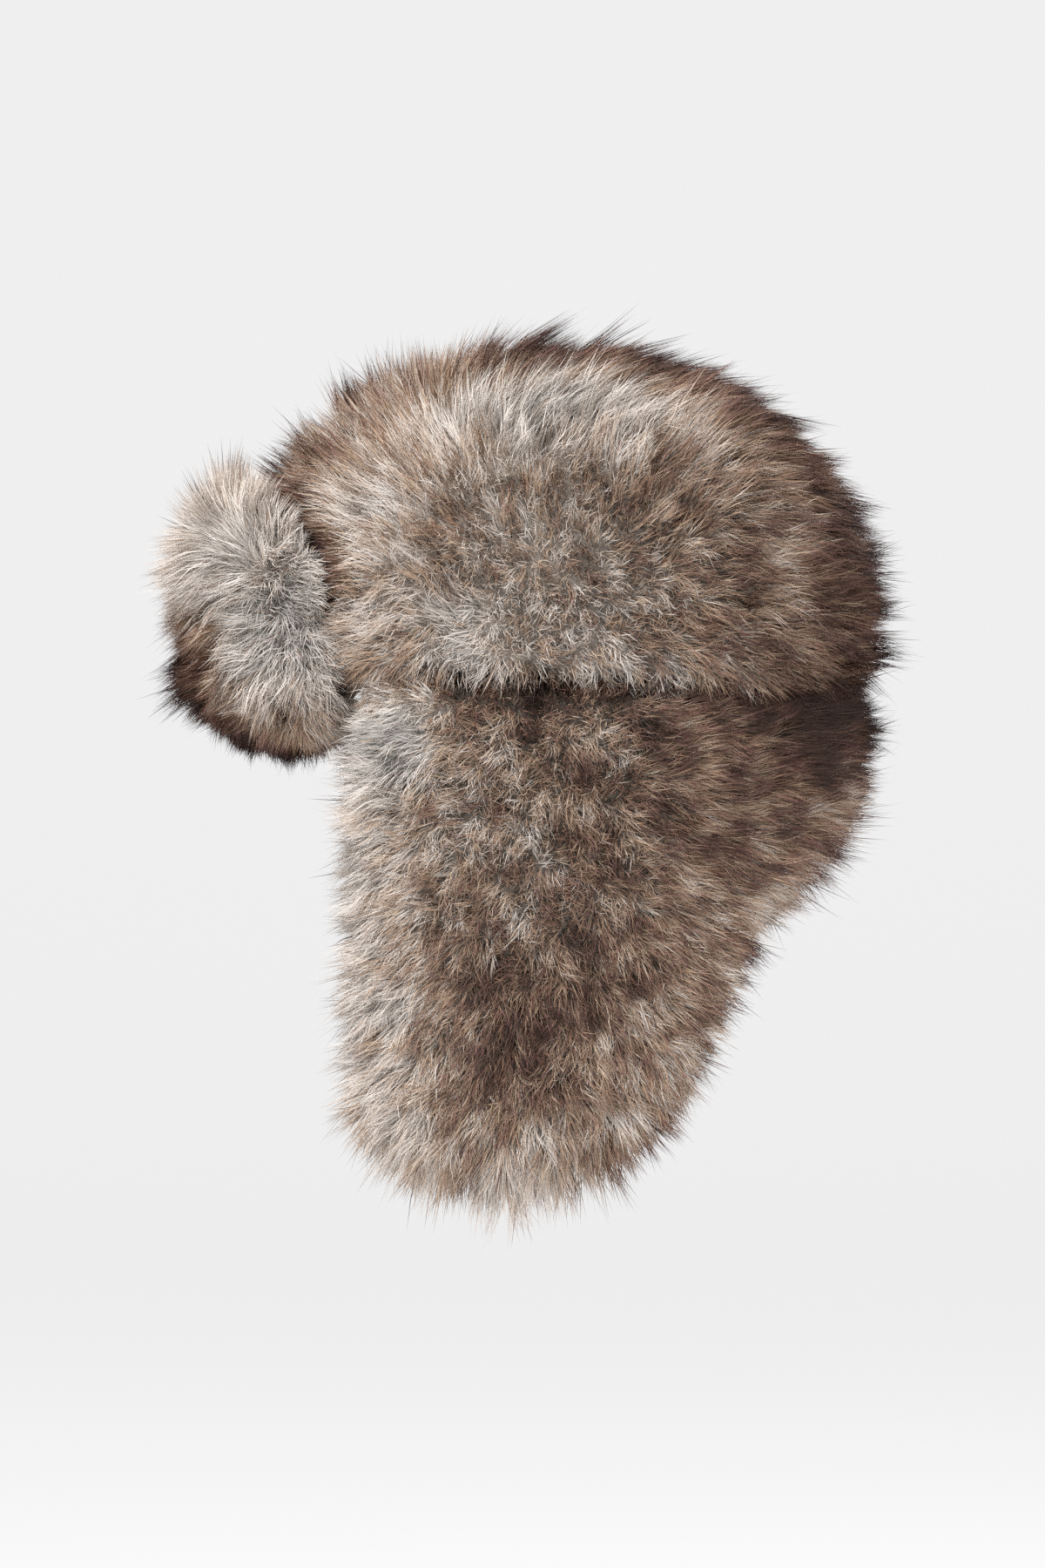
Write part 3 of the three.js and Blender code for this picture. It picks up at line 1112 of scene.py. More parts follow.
def mesh_object(name: str, points: Array, faces: Sequence[Sequence[int]]) -> bpy.types.Object:
    """A new smooth mesh object, with points in one place joined.

    Args:
        name: Its name.
        points: Its points.
        faces: The corners of each face.

    Returns:
        The object, in the scene.
    """
    mesh = bpy.data.meshes.new(name)
    mesh.from_pydata([tuple(p) for p in points.tolist()], [], [tuple(f) for f in faces])
    work = bmesh.new()
    work.from_mesh(mesh)
    bmesh.ops.remove_doubles(work, verts=work.verts, dist=JOINED_WITHIN)
    work.to_mesh(mesh)
    work.free()
    mesh.shade_smooth()
    thing = bpy.data.objects.new(name, mesh)
    bpy.context.scene.collection.objects.link(thing)
    return thing


def slab_object(name: str, outer: Grid, inner: Grid) -> bpy.types.Object:
    """The closed solid between two sheets of the same size.

    Args:
        name: The object's name.
        outer: The outer sheet.
        inner: The inner one.

    Returns:
        The object, in the scene.
    """
    count = outer.columns * outer.rows
    points = np.concatenate([outer.points.reshape(-1, 3), inner.points.reshape(-1, 3)])
    faces = outer.quads() + inner.quads(count, inward=True)
    if outer.wraps:
        for i in range(outer.columns):
            here, there = i * outer.rows, ((i + 1) % outer.columns) * outer.rows
            faces.append((there, here, here + count, there + count))
    else:
        rim = outer.border()
        for here, there in zip(rim, rim[1:] + rim[:1]):
            faces.append((there, here, here + count, there + count))
    return mesh_object(name, points, faces)


@dataclass
class FurPiece:
    """One cloth of the hat with the fur on it. The ridge is where the hair shows as tufts against the background."""

    node: str
    slot: str
    columns: int
    rows: int
    base: float
    sorts: tuple[HairSort, ...]
    patches: tuple[Patch, ...]
    tone: float
    cut: Cut | None = None
    ridge_edge: Rise = Rise(0.040, 0.030)
    ridge_thinner: float = 0.44
    ridge_longer: float = 0.14
    seam_round: float = 0.012
    seam_share: float = 0.45
    seam_rest: float = 0.55
    seam_hair: float = 0.68
    seam_hair_rest: float = 0.32
    rim_thickness: float = 0.0006

    def sheets(self) -> tuple[Grid, Grid]:
        """The outer and inner sheet of the undercoat."""
        raise NotImplementedError

    def comb(self, points: Array) -> Array:
        """The way the hair is combed at each point."""
        raise NotImplementedError

    def shade(self, points: Array) -> Array:
        """The hair's tone at each point, from 0, pale, to 1, dark."""
        return self.tone + sum(patch.at(points) for patch in self.patches)

    def length(self, points: Array) -> Array:
        """The hair's length at each point, as a share of its full length."""
        return np.ones(len(points))

    def flatness(self, points: Array) -> Array:
        """How much the hair leans at each point, as a share of its usual lean."""
        return np.ones(len(points))

    def ridge(self, points: Array) -> Array:
        """1 along the hat's middle, over the top and down the front and back, and 0 on its sides."""
        return 1 - self.ridge_edge.at(np.abs(points[..., 0]))

    def seam_thickness(self, distance: Array) -> Array:
        """The undercoat's thickness at a distance from the seam, as a share of its full thickness."""
        return self.seam_share + self.seam_rest * quarter_round(distance, self.seam_round)

    def skin(self, sheet: Grid) -> bpy.types.Object:
        """The face that the hair stands on, which carries the hair's attributes.

        Args:
            sheet: The undercoat's outer sheet.

        Returns:
            The object, in the scene.
        """
        thing = mesh_object(f"{self.node}_skin", sheet.points.reshape(-1, 3), sheet.quads())
        mesh = thing.data
        count = len(mesh.vertices)
        points, up = np.empty(count * 3), np.empty(count * 3)
        mesh.vertices.foreach_get("co", points)
        mesh.vertices.foreach_get("normal", up)
        points, up = points.reshape(-1, 3), up.reshape(-1, 3)
        comb = self.comb(points)
        comb = comb - up * np.sum(comb * up, axis=1, keepdims=True)
        for name, values in {"up": up, "comb": comb}.items():
            data = mesh.attributes.new(name, "FLOAT_VECTOR", "POINT").data
            data.foreach_set("vector", values.astype(np.float32).ravel())
        scalars = {"length": self.length, TONE: self.shade, "flatness": self.flatness, "ridge": self.ridge}
        for name, values_at in scalars.items():
            data = mesh.attributes.new(name, "FLOAT", "POINT").data
            data.foreach_set("value", np.broadcast_to(values_at(points), (count,)).astype(np.float32))
        return thing

    def build(self, tree: FurTree, materials: dict[str, bpy.types.Material]) -> None:
        """Builds the undercoat and the hair, and dresses the cloth.

        Args:
            tree: The tree that grows hair.
            materials: The finishes, by name.
        """
        cloth = bpy.data.objects[self.node]
        cloth.data.materials.clear()
        cloth.data.materials.append(materials[BACKING.name])
        outer, inner = self.sheets()
        undercoat = slab_object(f"{self.node}_undercoat", outer, inner)
        undercoat.data.materials.append(materials[MATTED_BASE.name])
        points = np.array([tuple(vertex.co) for vertex in undercoat.data.vertices])
        tones = np.clip(self.shade(points) * MAP_SHARE, 0.0, 1.0).astype(np.float32)
        undercoat.data.attributes.new(TONE, "FLOAT", "POINT").data.foreach_set("value", tones)
        self._take(undercoat)
        skin = self.skin(outer)
        for sort in self.sorts:
            finish = UNDERFUR if sort.coat is Coat.UNDERFUR else GUARD_HAIR
            hair = tree.grow(skin, f"{self.node}_{sort.coat.value}", sort, materials[finish.name])
            self._take(hair)
        bpy.data.objects.remove(skin)

    def _take(self, piece: bpy.types.Object) -> None:
        """Makes a piece part of the hat, in the place of its fur's solid.

        Args:
            piece: The piece.
        """
        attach(piece, BODY)
        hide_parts(f"{self.node}_fur")
        LOG.info("%s: %d faces", piece.name, len(piece.data.polygons))


@dataclass
class Crown(FurPiece):
    """The round crown, above the seam."""

    node: str = "crown"
    slot: str = "pale_fur"
    columns: int = 96
    rows: int = 30
    base: float = 0.015
    tone: float = 0.68
    sorts: tuple[HairSort, ...] = (SHORT_SORT, LONG_SORT)
    # The four patches from (-104, -36) to (-92, -76) are painted shade in the crease between the crown and the front
    # flap's end.
    patches: tuple[Patch, ...] = patches(
        (-2, -62, 30, -0.04), (40, -42, 20, 0.36), (14, 31, 20, 0.30), (-30, -98, 16, -0.32),
        (18, -104, 18, -0.10), (-8, -16, 20, -0.24), (100, -46, 32, 0.18), (100, -98, 28, 0.38),
        (-68, -22, 22, 0.31), (-66, -52, 22, -0.14), (-104, -36, 10, 0.35), (-98, -52, 10, 0.90),
        (-95, -64, 9, 0.85), (-92, -76, 9, 0.45), (-72, -84, 18, -0.26), (-62, 0, 13, -0.12),
        (-86, -12, 12, -0.16), (54, -84, 18, 0.30), (54, -52, 10, 0.12), (-40, -94, 12, -0.14),
    )
    side_centre: Triple = (0.087, -0.010, -0.045)
    still: Rise = Rise(0.035, 0.060)
    comb_strength: float = 0.6
    less_sideways: float = 0.8
    swept: Triple = (0.0, 2.4, 0.0)
    swept_above: Rise = Rise(-0.035, 0.05)
    swept_behind: Rise = Rise(-0.075, 0.05)
    fall: Triple = (0.0, 0.3, -0.9)
    fall_behind: Rise = Rise(0.05, 0.03)
    fall_above: Rise = Rise(-0.08, 0.04)
    drift: Triple = (0.0, 0.1, -0.15)
    seam_comb: float = 0.4
    seam_comb_rest: float = 0.6
    comb_above: Rise = Rise(-HEAD.crown_depth, 0.012)
    # The bands' places across the hat are millimetres.
    pale: float = 0.40
    pale_across: Hump = Hump(66, 17)
    pale_until: Rise = Rise(0.035, 0.04)
    pale_above: Rise = Rise(-0.072, 0.03)
    dark: float = 0.26
    dark_less_in_front: float = 0.40
    dark_front: Rise = Rise(0.025, 0.030)
    dark_until: Rise = Rise(28, 34)
    dark_above: Rise = Rise(-HEAD.crown_depth, 0.05)
    darkest: float = 1.06
    upper: Rise = Rise(-0.034, 0.044)
    upper_ridge: float = 0.85
    matted_spot: Spot = Spot(0.005, -0.056, 0.048, 0.034)
    matted_side: Rise = Rise(0.050, 0.02)
    matted_upright: float = 0.5
    matted_shorter: float = 0.14
    side: Rise = Rise(0.065, 0.03)
    side_shorter: float = 0.20
    flap_front: Rise = Rise(0.060, 0.03)
    flap_below: Rise = Rise(0.040, 0.02)
    flap_shorter: float = 0.2
    hair_above: Rise = Rise(0.002, 0.014)
    top_tufts: tuple[tuple[float, Hump], ...] = ((0.16, Hump(-0.024, 0.010)), (0.20, Hump(0.008, 0.010)))
    top_gaps: tuple[tuple[float, Hump], ...] = ((0.16, Hump(-0.008, 0.007)), (0.10, Hump(0.028, 0.010)))
    top_above: Rise = Rise(-0.01, 0.02)
    top_until: Rise = Rise(0.03, 0.03)
    swept_longer: float = 0.24
    notch: Hump = Hump(0.0, 0.009)
    notch_place: tuple[float, float] = (-0.096, -0.058)
    notch_slope: float = 0.35
    notch_side: Rise = Rise(0.028, 0.018)
    notch_below: Rise = Rise(0.030, 0.012)
    notch_above: Rise = Rise(-0.092, 0.012)
    notch_shorter: float = 0.55

    def surface(self, out: Array | float) -> Grid:
        """The crown's outer face, that far out from the head.

        Args:
            out: The distance.

        Returns:
            The sheet.
        """
        turn = np.linspace(0, 2 * np.pi, self.columns, endpoint=False)[:, None]
        climb = np.linspace(0, 1, self.rows)[None, :]
        skirt_share = HEAD.skirt / (HEAD.skirt + HEAD.crown_depth)
        lift = np.clip((climb - skirt_share) / (1 - skirt_share), 0, 1) * np.pi / 2
        reach = np.maximum(np.cos(lift), 0) ** (2 / HEAD.roundness)
        x = (HEAD.width / 2 + out) * reach * np.sin(turn)
        y = -(HEAD.length / 2 + out) * reach * np.cos(turn)
        low = np.clip(climb / skirt_share, 0, 1)
        upright = HEAD.seam(turn) * (1 - low) + HEAD.skirt * low
        dome = (HEAD.crown_depth - HEAD.skirt + out) * np.sin(lift) ** (2 / HEAD.roundness)
        return Grid(HEAD.placed(x, y, upright + dome), wraps=True)

    def sheets(self) -> tuple[Grid, Grid]:
        """The outer and inner sheet of the undercoat, which is rounded towards the seam.

        Returns:
            The two sheets.
        """
        inner = HEAD.cloth + HEAD.gap
        climb = np.linspace(0, 1, self.rows)[None, :] * (HEAD.skirt + HEAD.crown_depth)
        thick = self.base * self.seam_thickness(climb)
        thick = thick * (1 - self.ridge_thinner * self.ridge(self.surface(inner).points))
        return self.surface(inner + thick), self.surface(inner)

    def shade(self, points: Array) -> Array:
        """Dark along the middle of the top and the back, with a pale band on each side of it at the front.

        Args:
            points: The points.

        Returns:
            Each point's tone.
        """
        wide = np.abs(points[:, 0]) / MM
        pale = self.pale_across.at(wide) * (1 - self.pale_until.at(points[:, 1])) * self.pale_above.at(points[:, 2])
        dark = self.dark - self.dark_less_in_front * self.dark_front.at(-points[:, 1])
        middle = dark * (1 - self.dark_until.at(wide)) * self.dark_above.at(points[:, 2])
        usual = super().shade(points)
        return np.minimum(usual + middle, np.maximum(usual, self.darkest)) - self.pale * pale

    def ridge(self, points: Array) -> Array:
        """As on every piece, and also over the upper part of the sides."""
        return np.maximum(super().ridge(points), self.upper_ridge * self.upper.at(points[..., 2]))

    def matted(self, points: Array) -> Array:
        """How near the middle of each side a point is, where the hair is short and stands upright, from 0 to 1."""
        return self.matted_spot.at(points) * self.matted_side.at(np.abs(points[:, 0]))

    def flatness(self, points: Array) -> Array:
        """Half as flat in the middle of each side."""
        return 1 - self.matted_upright * self.matted(points)

    def sweep(self, points: Array) -> Array:
        """How strongly the hair is swept backwards over the top, from 0 to 1."""
        return self.swept_above.at(points[:, 2]) * self.swept_behind.at(points[:, 1])

    def comb(self, points: Array) -> Array:
        """Out from the middle of each side, backwards over the top, and least right at the seam.

        Args:
            points: The points.

        Returns:
            Each point's direction and strength, as a vector.
        """
        outward = outwards(from_side(points, self.side_centre), self.comb_strength, self.still)
        outward[:, :1] *= 1 - self.less_sideways * self.swept_above.at(points[:, 2:])
        fall = np.array(self.fall) * self.fall_behind.at(points[:, 1:2]) * self.fall_above.at(points[:, 2:])
        swept = np.array(self.swept) * self.sweep(points)[:, None] + fall
        seam = self.seam_comb + self.seam_comb_rest * self.comb_above.at(points[:, 2:])
        return (outward + swept + np.array(self.drift)) * seam

    def length(self, points: Array) -> Array:
        """Tufted along the top, and shorter on the sides, behind the front flap, and along the seam.

        Args:
            points: The points.

        Returns:
            Each point's share.
        """
        x, y, z = points.T
        wide = np.abs(x)
        behind_flap = self.flap_front.at(-y) * self.flap_below.at(-z)
        seam = self.hair_above.at(z + HEAD.crown_depth)
        tufts, gaps = (sum(share * hump.at(y) for share, hump in row) for row in (self.top_tufts, self.top_gaps))
        top = (tufts - gaps) * self.top_above.at(z) * (1 - self.top_until.at(wide))
        side = self.side_shorter * self.side.at(wide) + self.matted_shorter * self.matted(points)
        longer = 1 + (self.ridge_longer + self.swept_longer * self.sweep(points)) * self.ridge(points)
        notch_y, notch_z = self.notch_place
        notch = self.notch.at((y - notch_y) + self.notch_slope * (z - notch_z)) * self.notch_side.at(wide)
        notch = notch * self.notch_below.at(-z) * self.notch_above.at(z)
        length = longer * (1 - self.flap_shorter * behind_flap) * (self.seam_hair + self.seam_hair_rest * seam)
        return length * (1 + top - side) * (1 - self.notch_shorter * notch)


@dataclass
class FrontFlap(FurPiece):
    """The front flap, folded outwards and up against the crown."""

    node: str = "front_flap"
    slot: str = "pale_fur"
    columns: int = 60
    rows: int = 34
    base: float = 0.018
    tone: float = 0.33
    sorts: tuple[HairSort, ...] = (
        replace(
            SHORT_SORT,
            count=30000,
            length=0.017,
            tip_lean=36,
            lock=0.0020,
            lock_pull=0.60,
            tuft=0.0060,
            seed=21,
            mottle=0.8,
        ),
        replace(
            LONG_SORT,
            count=26000,
            length=0.023,
            tip_lean=40,
            lock=0.0028,
            lock_pull=0.70,
            tuft=0.0074,
            tuft_pull=0.5,
            seed=22,
            mottle=0.8,
        ),
    )
    patches: tuple[Patch, ...] = patches(
        (-112, -128, 16, 0.44), (-127, -60, 12, -0.06), (-112, -86, 13, -0.30), (-104, -103, 12, -0.12),
        (-128, -108, 11, -0.06), (-147, -84, 11, -0.36), (-120, -28, 9, 0.28), (-122, -142, 12, -0.14),
    )
    cut: Cut | None = Cut(0.138, 0.084, 0.0109, Hold.FOLDED)
    turn: float = math.radians(38)
    fold: float = 0.006
    height: float = 0.062
    lean: float = math.radians(6.5)
    corner: float = 0.3
    over: float = 0.006
    past: float = 0.003
    round_columns: int = 8
    start_share: float = 0.42
    arc: float = 0.6
    top_round: float = 0.012
    foot_rise: float = 0.001
    foot_round: float = 0.012
    end_round: float = 0.022
    ends: Rise = Rise(0.07, 0.02)
    ends_shorter: float = 0.15
    beside_behind: Rise = Rise(-0.116, 0.012)
    beside_side: Rise = Rise(0.050, 0.012)
    beside_above: Rise = Rise(-0.100, 0.020)
    beside_until: Rise = Rise(-0.054, 0.012)
    beside_shorter: float = 0.6
    foot: Rise = Rise(0.108, 0.014)
    foot_shorter: float = 0.35
    dark: float = 0.74
    dark_below: Rise = Rise(0.072, 0.016)
    dark_until: Rise = Rise(0.031, 0.031)
    high: Rise = Rise(-0.062, 0.020)
    rim: Rise = Rise(0.002, 0.007)
    rim_height: float = -0.052
    rim_fall: float = 0.019
    rim_half: float = 0.062
    down: Triple = (0.0, 0.25, -0.7)
    forwards: Triple = (0.0, -0.25, 0.0)
    over_top: Triple = (0.0, 0.9, 0.1)

    def top(self, turn: Array) -> Array:
        """The cloth's height above the fold at an angle from the middle of the front."""
        return self.height * (1 - self.corner * np.minimum(np.abs(turn) / self.turn, 1) ** 4)

    def surface(self, out: Callable[[Array, Array], Array]) -> Grid:
        """A face of the flap.

        Args:
            out: Its distance from the side that faces the crown, from the share up and the distance from its end.

        Returns:
            The sheet.
        """
        along = np.linspace(-1, 1, self.columns)[:, None]
        up = np.linspace(0, 1, self.rows)[None, :]
        inside = 1 - 2 * self.round_columns / self.columns
        turn = np.clip(along / inside, -1, 1) * self.turn
        beyond = np.sin(np.clip((np.abs(along) - inside) / (1 - inside), 0, 1) * np.pi / 2)
        fold_length = self.fold * (np.pi - self.lean)
        start = fold_length * self.start_share
        length = start + (fold_length + self.top(turn) + self.over - start) * up
        bend = np.clip(length / self.fold, 0, np.pi - self.lean)
        straight = length - bend * self.fold
        from_end = (self.turn - np.abs(turn)) * HEAD.length * self.arc + self.past * (1 - beyond)
        outward = out(up, from_end)
        off = HEAD.cloth + self.fold * (1 - np.cos(bend)) + straight * np.sin(bend) - outward * np.cos(bend)
        z = HEAD.seam(turn) - HEAD.gap - self.fold * np.sin(bend) - straight * np.cos(bend) - outward * np.sin(bend)
        past = np.sign(along) * beyond * self.past
        x, y = HEAD.ring(turn, HEAD.width / 2 + off, HEAD.length / 2 + off, past)
        return Grid(HEAD.placed(x, y, z))

    def sheets(self) -> tuple[Grid, Grid]:
        """The outer and inner sheet of the undercoat, which is rounded along its edges.

        Returns:
            The two sheets.
        """

        def outer(up: Array, from_end: Array) -> Array:
            round_top = quarter_round((1 - up) * (self.height + self.over), self.over + self.top_round)
            round_foot = quarter_round(up * (self.height + self.over) + self.foot_rise, self.foot_round)
            thick = self.base * round_top * round_foot * quarter_round(from_end, self.end_round)
            return HEAD.cloth + HEAD.gap + self.rim_thickness + thick

        def inner(up: Array, from_end: Array) -> Array:
            return np.full(np.broadcast(up, from_end).shape, HEAD.cloth + HEAD.gap)

        return self.surface(outer), self.surface(inner)

    def length(self, points: Array) -> Array:
        """Shorter past its ends, above all beside the crown, and along its foot.

        Args:
            points: The points.

        Returns:
            Each point's share.
        """
        x, y, z = points.T
        wide = np.abs(x)
        beside = self.beside_behind.at(y) * self.beside_side.at(wide) * self.beside_above.at(z)
        beside = beside * (1 - self.beside_until.at(z))
        length = (1 - self.ends_shorter * self.ends.at(wide)) * (1 - self.beside_shorter * beside)
        return length * (1 - self.foot_shorter * self.foot.at(-z))

    def shade(self, points: Array) -> Array:
        """Dark along the lower part of its front, where the tips make its outline."""
        low = self.dark_below.at(-points[:, 2]) * (1 - self.dark_until.at(np.abs(points[:, 0])))
        return super().shade(points) + self.dark * low

    def comb(self, points: Array) -> Array:
        """Down and towards the crown, forwards near its top, and backwards over the crown right at its top.

        Args:
            points: The points.

        Returns:
            Each point's direction and strength, as a vector.
        """
        high = self.high.at(points[:, 2:])
        below = self.rim_height - self.rim_fall * (np.abs(points[:, :1]) / self.rim_half) ** 4
        rim = self.rim.at(points[:, 2:] - below)
        lower = np.array(self.down) * (1 - high) + np.array(self.forwards) * high
        return lower * (1 - rim) + np.array(self.over_top) * rim


@dataclass
class EarNeckFlap(FurPiece):
    """The flap that hangs from the seam over both ears and the nape."""

    node: str = "ear_neck_flap"
    slot: str = "dark_fur"
    columns: int = 120
    rows: int = 40
    base: float = 0.015
    tone: float = 0.70
    sorts: tuple[HairSort, ...] = (
        replace(SHORT_SORT, seed=31),
        replace(LONG_SORT, tip_lean=38, tuft=0.0066, seed=32),
    )
    # The first patch, under the seam at the back, is dark brown nape fur with painted shade where the crown's fur
    # hangs over it.
    patches: tuple[Patch, ...] = patches(
        (98, -119, 23, 1.05), (84, -144, 18, 0.26), (114, -162, 18, -0.22), (42, -222, 24, 0.16),
        (42, -126, 28, 0.36), (72, -180, 22, 0.45), (36, -166, 26, 0.22), (-16, -124, 26, 0.25),
        (-18, -250, 28, 0.46), (-14, -190, 30, 0.04), (-84, -150, 30, -0.38), (-84, -195, 30, -0.36),
        (-82, -240, 30, -0.36), (-56, -288, 26, -0.36), (-15, -312, 21, -0.40), (28, -296, 12, 0.10),
        (50, -264, 15, -0.16), (84, -197, 17, -0.54), (76, -242, 12, -0.34), (-62, -134, 14, -0.72),
        (-44, -284, 13, 0.26), (-54, -212, 14, 0.28), (14, -232, 17, 0.32), (46, -150, 13, -0.20),
        (-88, -262, 14, -0.24), (-88, -212, 7, 0.60), (-86, -233, 6, 0.50), (-78, -298, 8, 0.60),
    )
    cut: Cut | None = Cut(0.440, 0.200, 0.0555, Hold.HUNG)
    front: float = math.radians(51)
    cheek: float = 0.009
    nape_tuck: float = 0.2
    ear_length: float = 0.192
    past: float = 0.006
    # Degrees from the front, and how far below the seam's level the undercoat reaches, in millimetres.
    lower_edge: tuple[tuple[float, float], ...] = (
        (51, 181),
        (56, 189),
        (64, 196),
        (74, 200),
        (84, 200),
        (94, 194),
        (102, 186),
        (109, 176),
        (115, 161),
        (122, 135),
        (130, 102),
        (145, 83),
        (160, 69),
        (180, 61),
    )
    row_spacing: float = 1.15
    round_columns: int = 8
    edge_lift: float = 0.004
    end_lift: float = 0.010
    cheek_power: float = 1.5
    edge_round: float = 0.014
    ridge_front: Rise = Rise(0.052, 0.016)
    ridge_above: Rise = Rise(0.006, 0.022)
    edge_share: float = 0.6
    edge_ridge: float = 0.35
    nape_behind: Rise = Rise(0.025, 0.040)
    nape_above: Rise = Rise(-0.225, 0.040)
    nape_ridge: float = 0.7
    side_centre: Triple = (0.087, -0.012, -0.165)
    still: Rise = Rise(0.030, 0.050)
    comb_strength: float = 0.9
    back: Rise = Rise(0.01, 0.06)
    back_comb: Triple = (0.0, 1.1, 0.75)
    low: Rise = Rise(0.130, 0.060)
    low_comb: Triple = (0.0, -0.4, -0.95)
    seam_until: Rise = Rise(HEAD.crown_depth, 0.020)
    seam_comb: Triple = (0.0, 0.0, -0.5)
    hang: Triple = (0.0, 0.0, -0.35)
    # Painted shade along the top of the flap, right under the seam where the crown's fur hangs over it, from the ears
    # back.
    dark: float = 0.40
    dark_until: Rise = Rise(HEAD.crown_depth, 0.018)
    seam_shade_behind: Rise = Rise(-0.065, 0.03)
    corner: Spot = Spot(0.040, -0.300, 0.016, 0.018)
    corner_shorter: float = 0.40
    lowest: Hump = Hump(-0.023, 0.032)
    lowest_below: Rise = Rise(0.290, 0.030)
    lowest_longer: float = 0.25
    side: Rise = Rise(0.055, 0.03)
    side_above: Rise = Rise(-0.285, 0.03)
    side_shorter: float = 0.22
    hair_below: Rise = Rise(0.001, 0.016)
    flap_front: Rise = Rise(0.055, 0.02)
    flap_above: Rise = Rise(-0.145, 0.02)
    flap_shorter: float = 0.3

    def surface(self, out: Callable[[Array, Array, Array], Array]) -> Grid:
        """A face of the flap.

        Args:
            out: Its distance out from the cloth's outer face, from the share past an end, the height above the
                lower edge, and the depth below the seam.

        Returns:
            The sheet.
        """
        along = np.linspace(-1, 1, self.columns)[:, None]
        up = np.linspace(0, 1, self.rows)[None, :] ** self.row_spacing
        inside = 1 - self.round_columns / self.columns
        turn = np.pi + np.clip(along / inside, -1, 1) * (np.pi - self.front)
        beyond = np.clip((np.abs(along) - inside) / (1 - inside), 0, 1)
        beside = np.degrees(np.minimum(turn, 2 * np.pi - turn))
        turns, depths = np.array(self.lower_edge).T
        bottom = -np.interp(beside, turns, depths) * MM + self.edge_lift + self.end_lift * beyond**2
        top = HEAD.seam(turn) - HEAD.gap
        z = bottom + (top - bottom) * up
        outward = out(beyond, z - bottom, top - z)
        drop = np.maximum(0, -z)
        nape = np.maximum(0, -np.cos(turn)) ** 2
        across = HEAD.width / 2 + HEAD.cloth + outward - self.cheek * (drop / self.ear_length) ** self.cheek_power
        length = HEAD.length / 2 + HEAD.cloth + outward - self.nape_tuck * drop * nape
        x, y = HEAD.ring(turn, across, length, np.sign(along) * beyond * self.past)
        return Grid(HEAD.placed(x, y, z))

    def sheets(self) -> tuple[Grid, Grid]:
        """The outer and inner sheet of the undercoat, which is rounded along its free edges.

        Returns:
            The two sheets.
        """
        middle = self.surface(lambda beyond, above, below: np.zeros(np.broadcast(beyond, above).shape)).points

        def outer(beyond: Array, above: Array, below: Array) -> Array:
            round_edge = quarter_round(above, self.edge_round)
            thick = self.base * round_edge * self.seam_thickness(below) * np.sqrt(1 - beyond**2)
            return HEAD.gap + self.rim_thickness + thick * (1 - self.ridge_thinner * self.ridge(middle))

        def inner(beyond: Array, above: Array, below: Array) -> Array:
            return np.full(np.broadcast(beyond, above).shape, HEAD.gap)

        return self.surface(outer), self.surface(inner)

    def ridge(self, points: Array) -> Array:
        """As on the crown, and also along the free edges.

        Args:
            points: The points.

        Returns:
            Each point's share.
        """
        turn = np.degrees(np.arctan2(np.abs(points[..., 0]) / HEAD.width, -points[..., 1] / HEAD.length))
        turns, depths = np.array(self.lower_edge).T
        above = points[..., 2] + HEAD.crown_depth + np.interp(turn, turns, depths) * MM
        edge = np.maximum(1 - self.ridge_above.at(above), self.ridge_front.at(-points[..., 1]))
        nape = self.nape_behind.at(points[..., 1]) * self.nape_above.at(points[..., 2])
        usual = super().ridge(points) * (1 - self.edge_share * edge)
        return np.maximum(usual, np.maximum(self.edge_ridge * edge, self.nape_ridge * nape))

    def comb(self, points: Array) -> Array:
        """Out from the middle of each side and down, and backwards over the nape.

        Args:
            points: The points.

        Returns:
            Each point's direction and strength, as a vector.
        """
        away = from_side(points, self.side_centre)
        away[:, 2] = np.minimum(away[:, 2], 0.0)
        back = self.back.at(points[:, 1:2])
        low, seam = self.low.at(-points[:, 2:]), 1 - self.seam_until.at(-points[:, 2:])
        steady = np.array(self.hang) + back * (np.array(self.back_comb) + low * np.array(self.low_comb))
        steady = steady + seam * (1 - back) * np.array(self.seam_comb)
        return outwards(away, self.comb_strength, self.still) + steady

    def shade(self, points: Array) -> Array:
        """Darker right under the seam: painted shade where the crown's fur hangs over the flap's top."""
        seam = 1 - self.dark_until.at(-points[:, 2])
        return super().shade(points) + self.dark * seam * self.seam_shade_behind.at(points[:, 1])

    def length(self, points: Array) -> Array:
        """Longer at the lowest place, shorter at the corner beside it, along the seam, and under the front flap.

        Args:
            points: The points.

        Returns:
            Each point's share.
        """
        x, y, z = points.T
        corner = self.corner_shorter * self.corner.at(points)
        corner = corner - self.lowest_longer * self.lowest.at(y) * self.lowest_below.at(-z)
        side = self.side_shorter * self.side.at(np.abs(x)) * self.side_above.at(z)
        seam = self.seam_hair + self.seam_hair_rest * self.hair_below.at(-HEAD.crown_depth - z)
        under_flap = self.flap_front.at(-y) * self.flap_above.at(z)
        longer = 1 + self.ridge_longer * self.ridge(points)
        return longer * seam * (1 - self.flap_shorter * under_flap) * (1 - side) * (1 - corner)


@dataclass(frozen=True)
class Lamp:
    """A square soft light: its name, its place, the length of its side in metres, and its power in watts."""

    name: str
    place: Triple
    size: float
    power: float


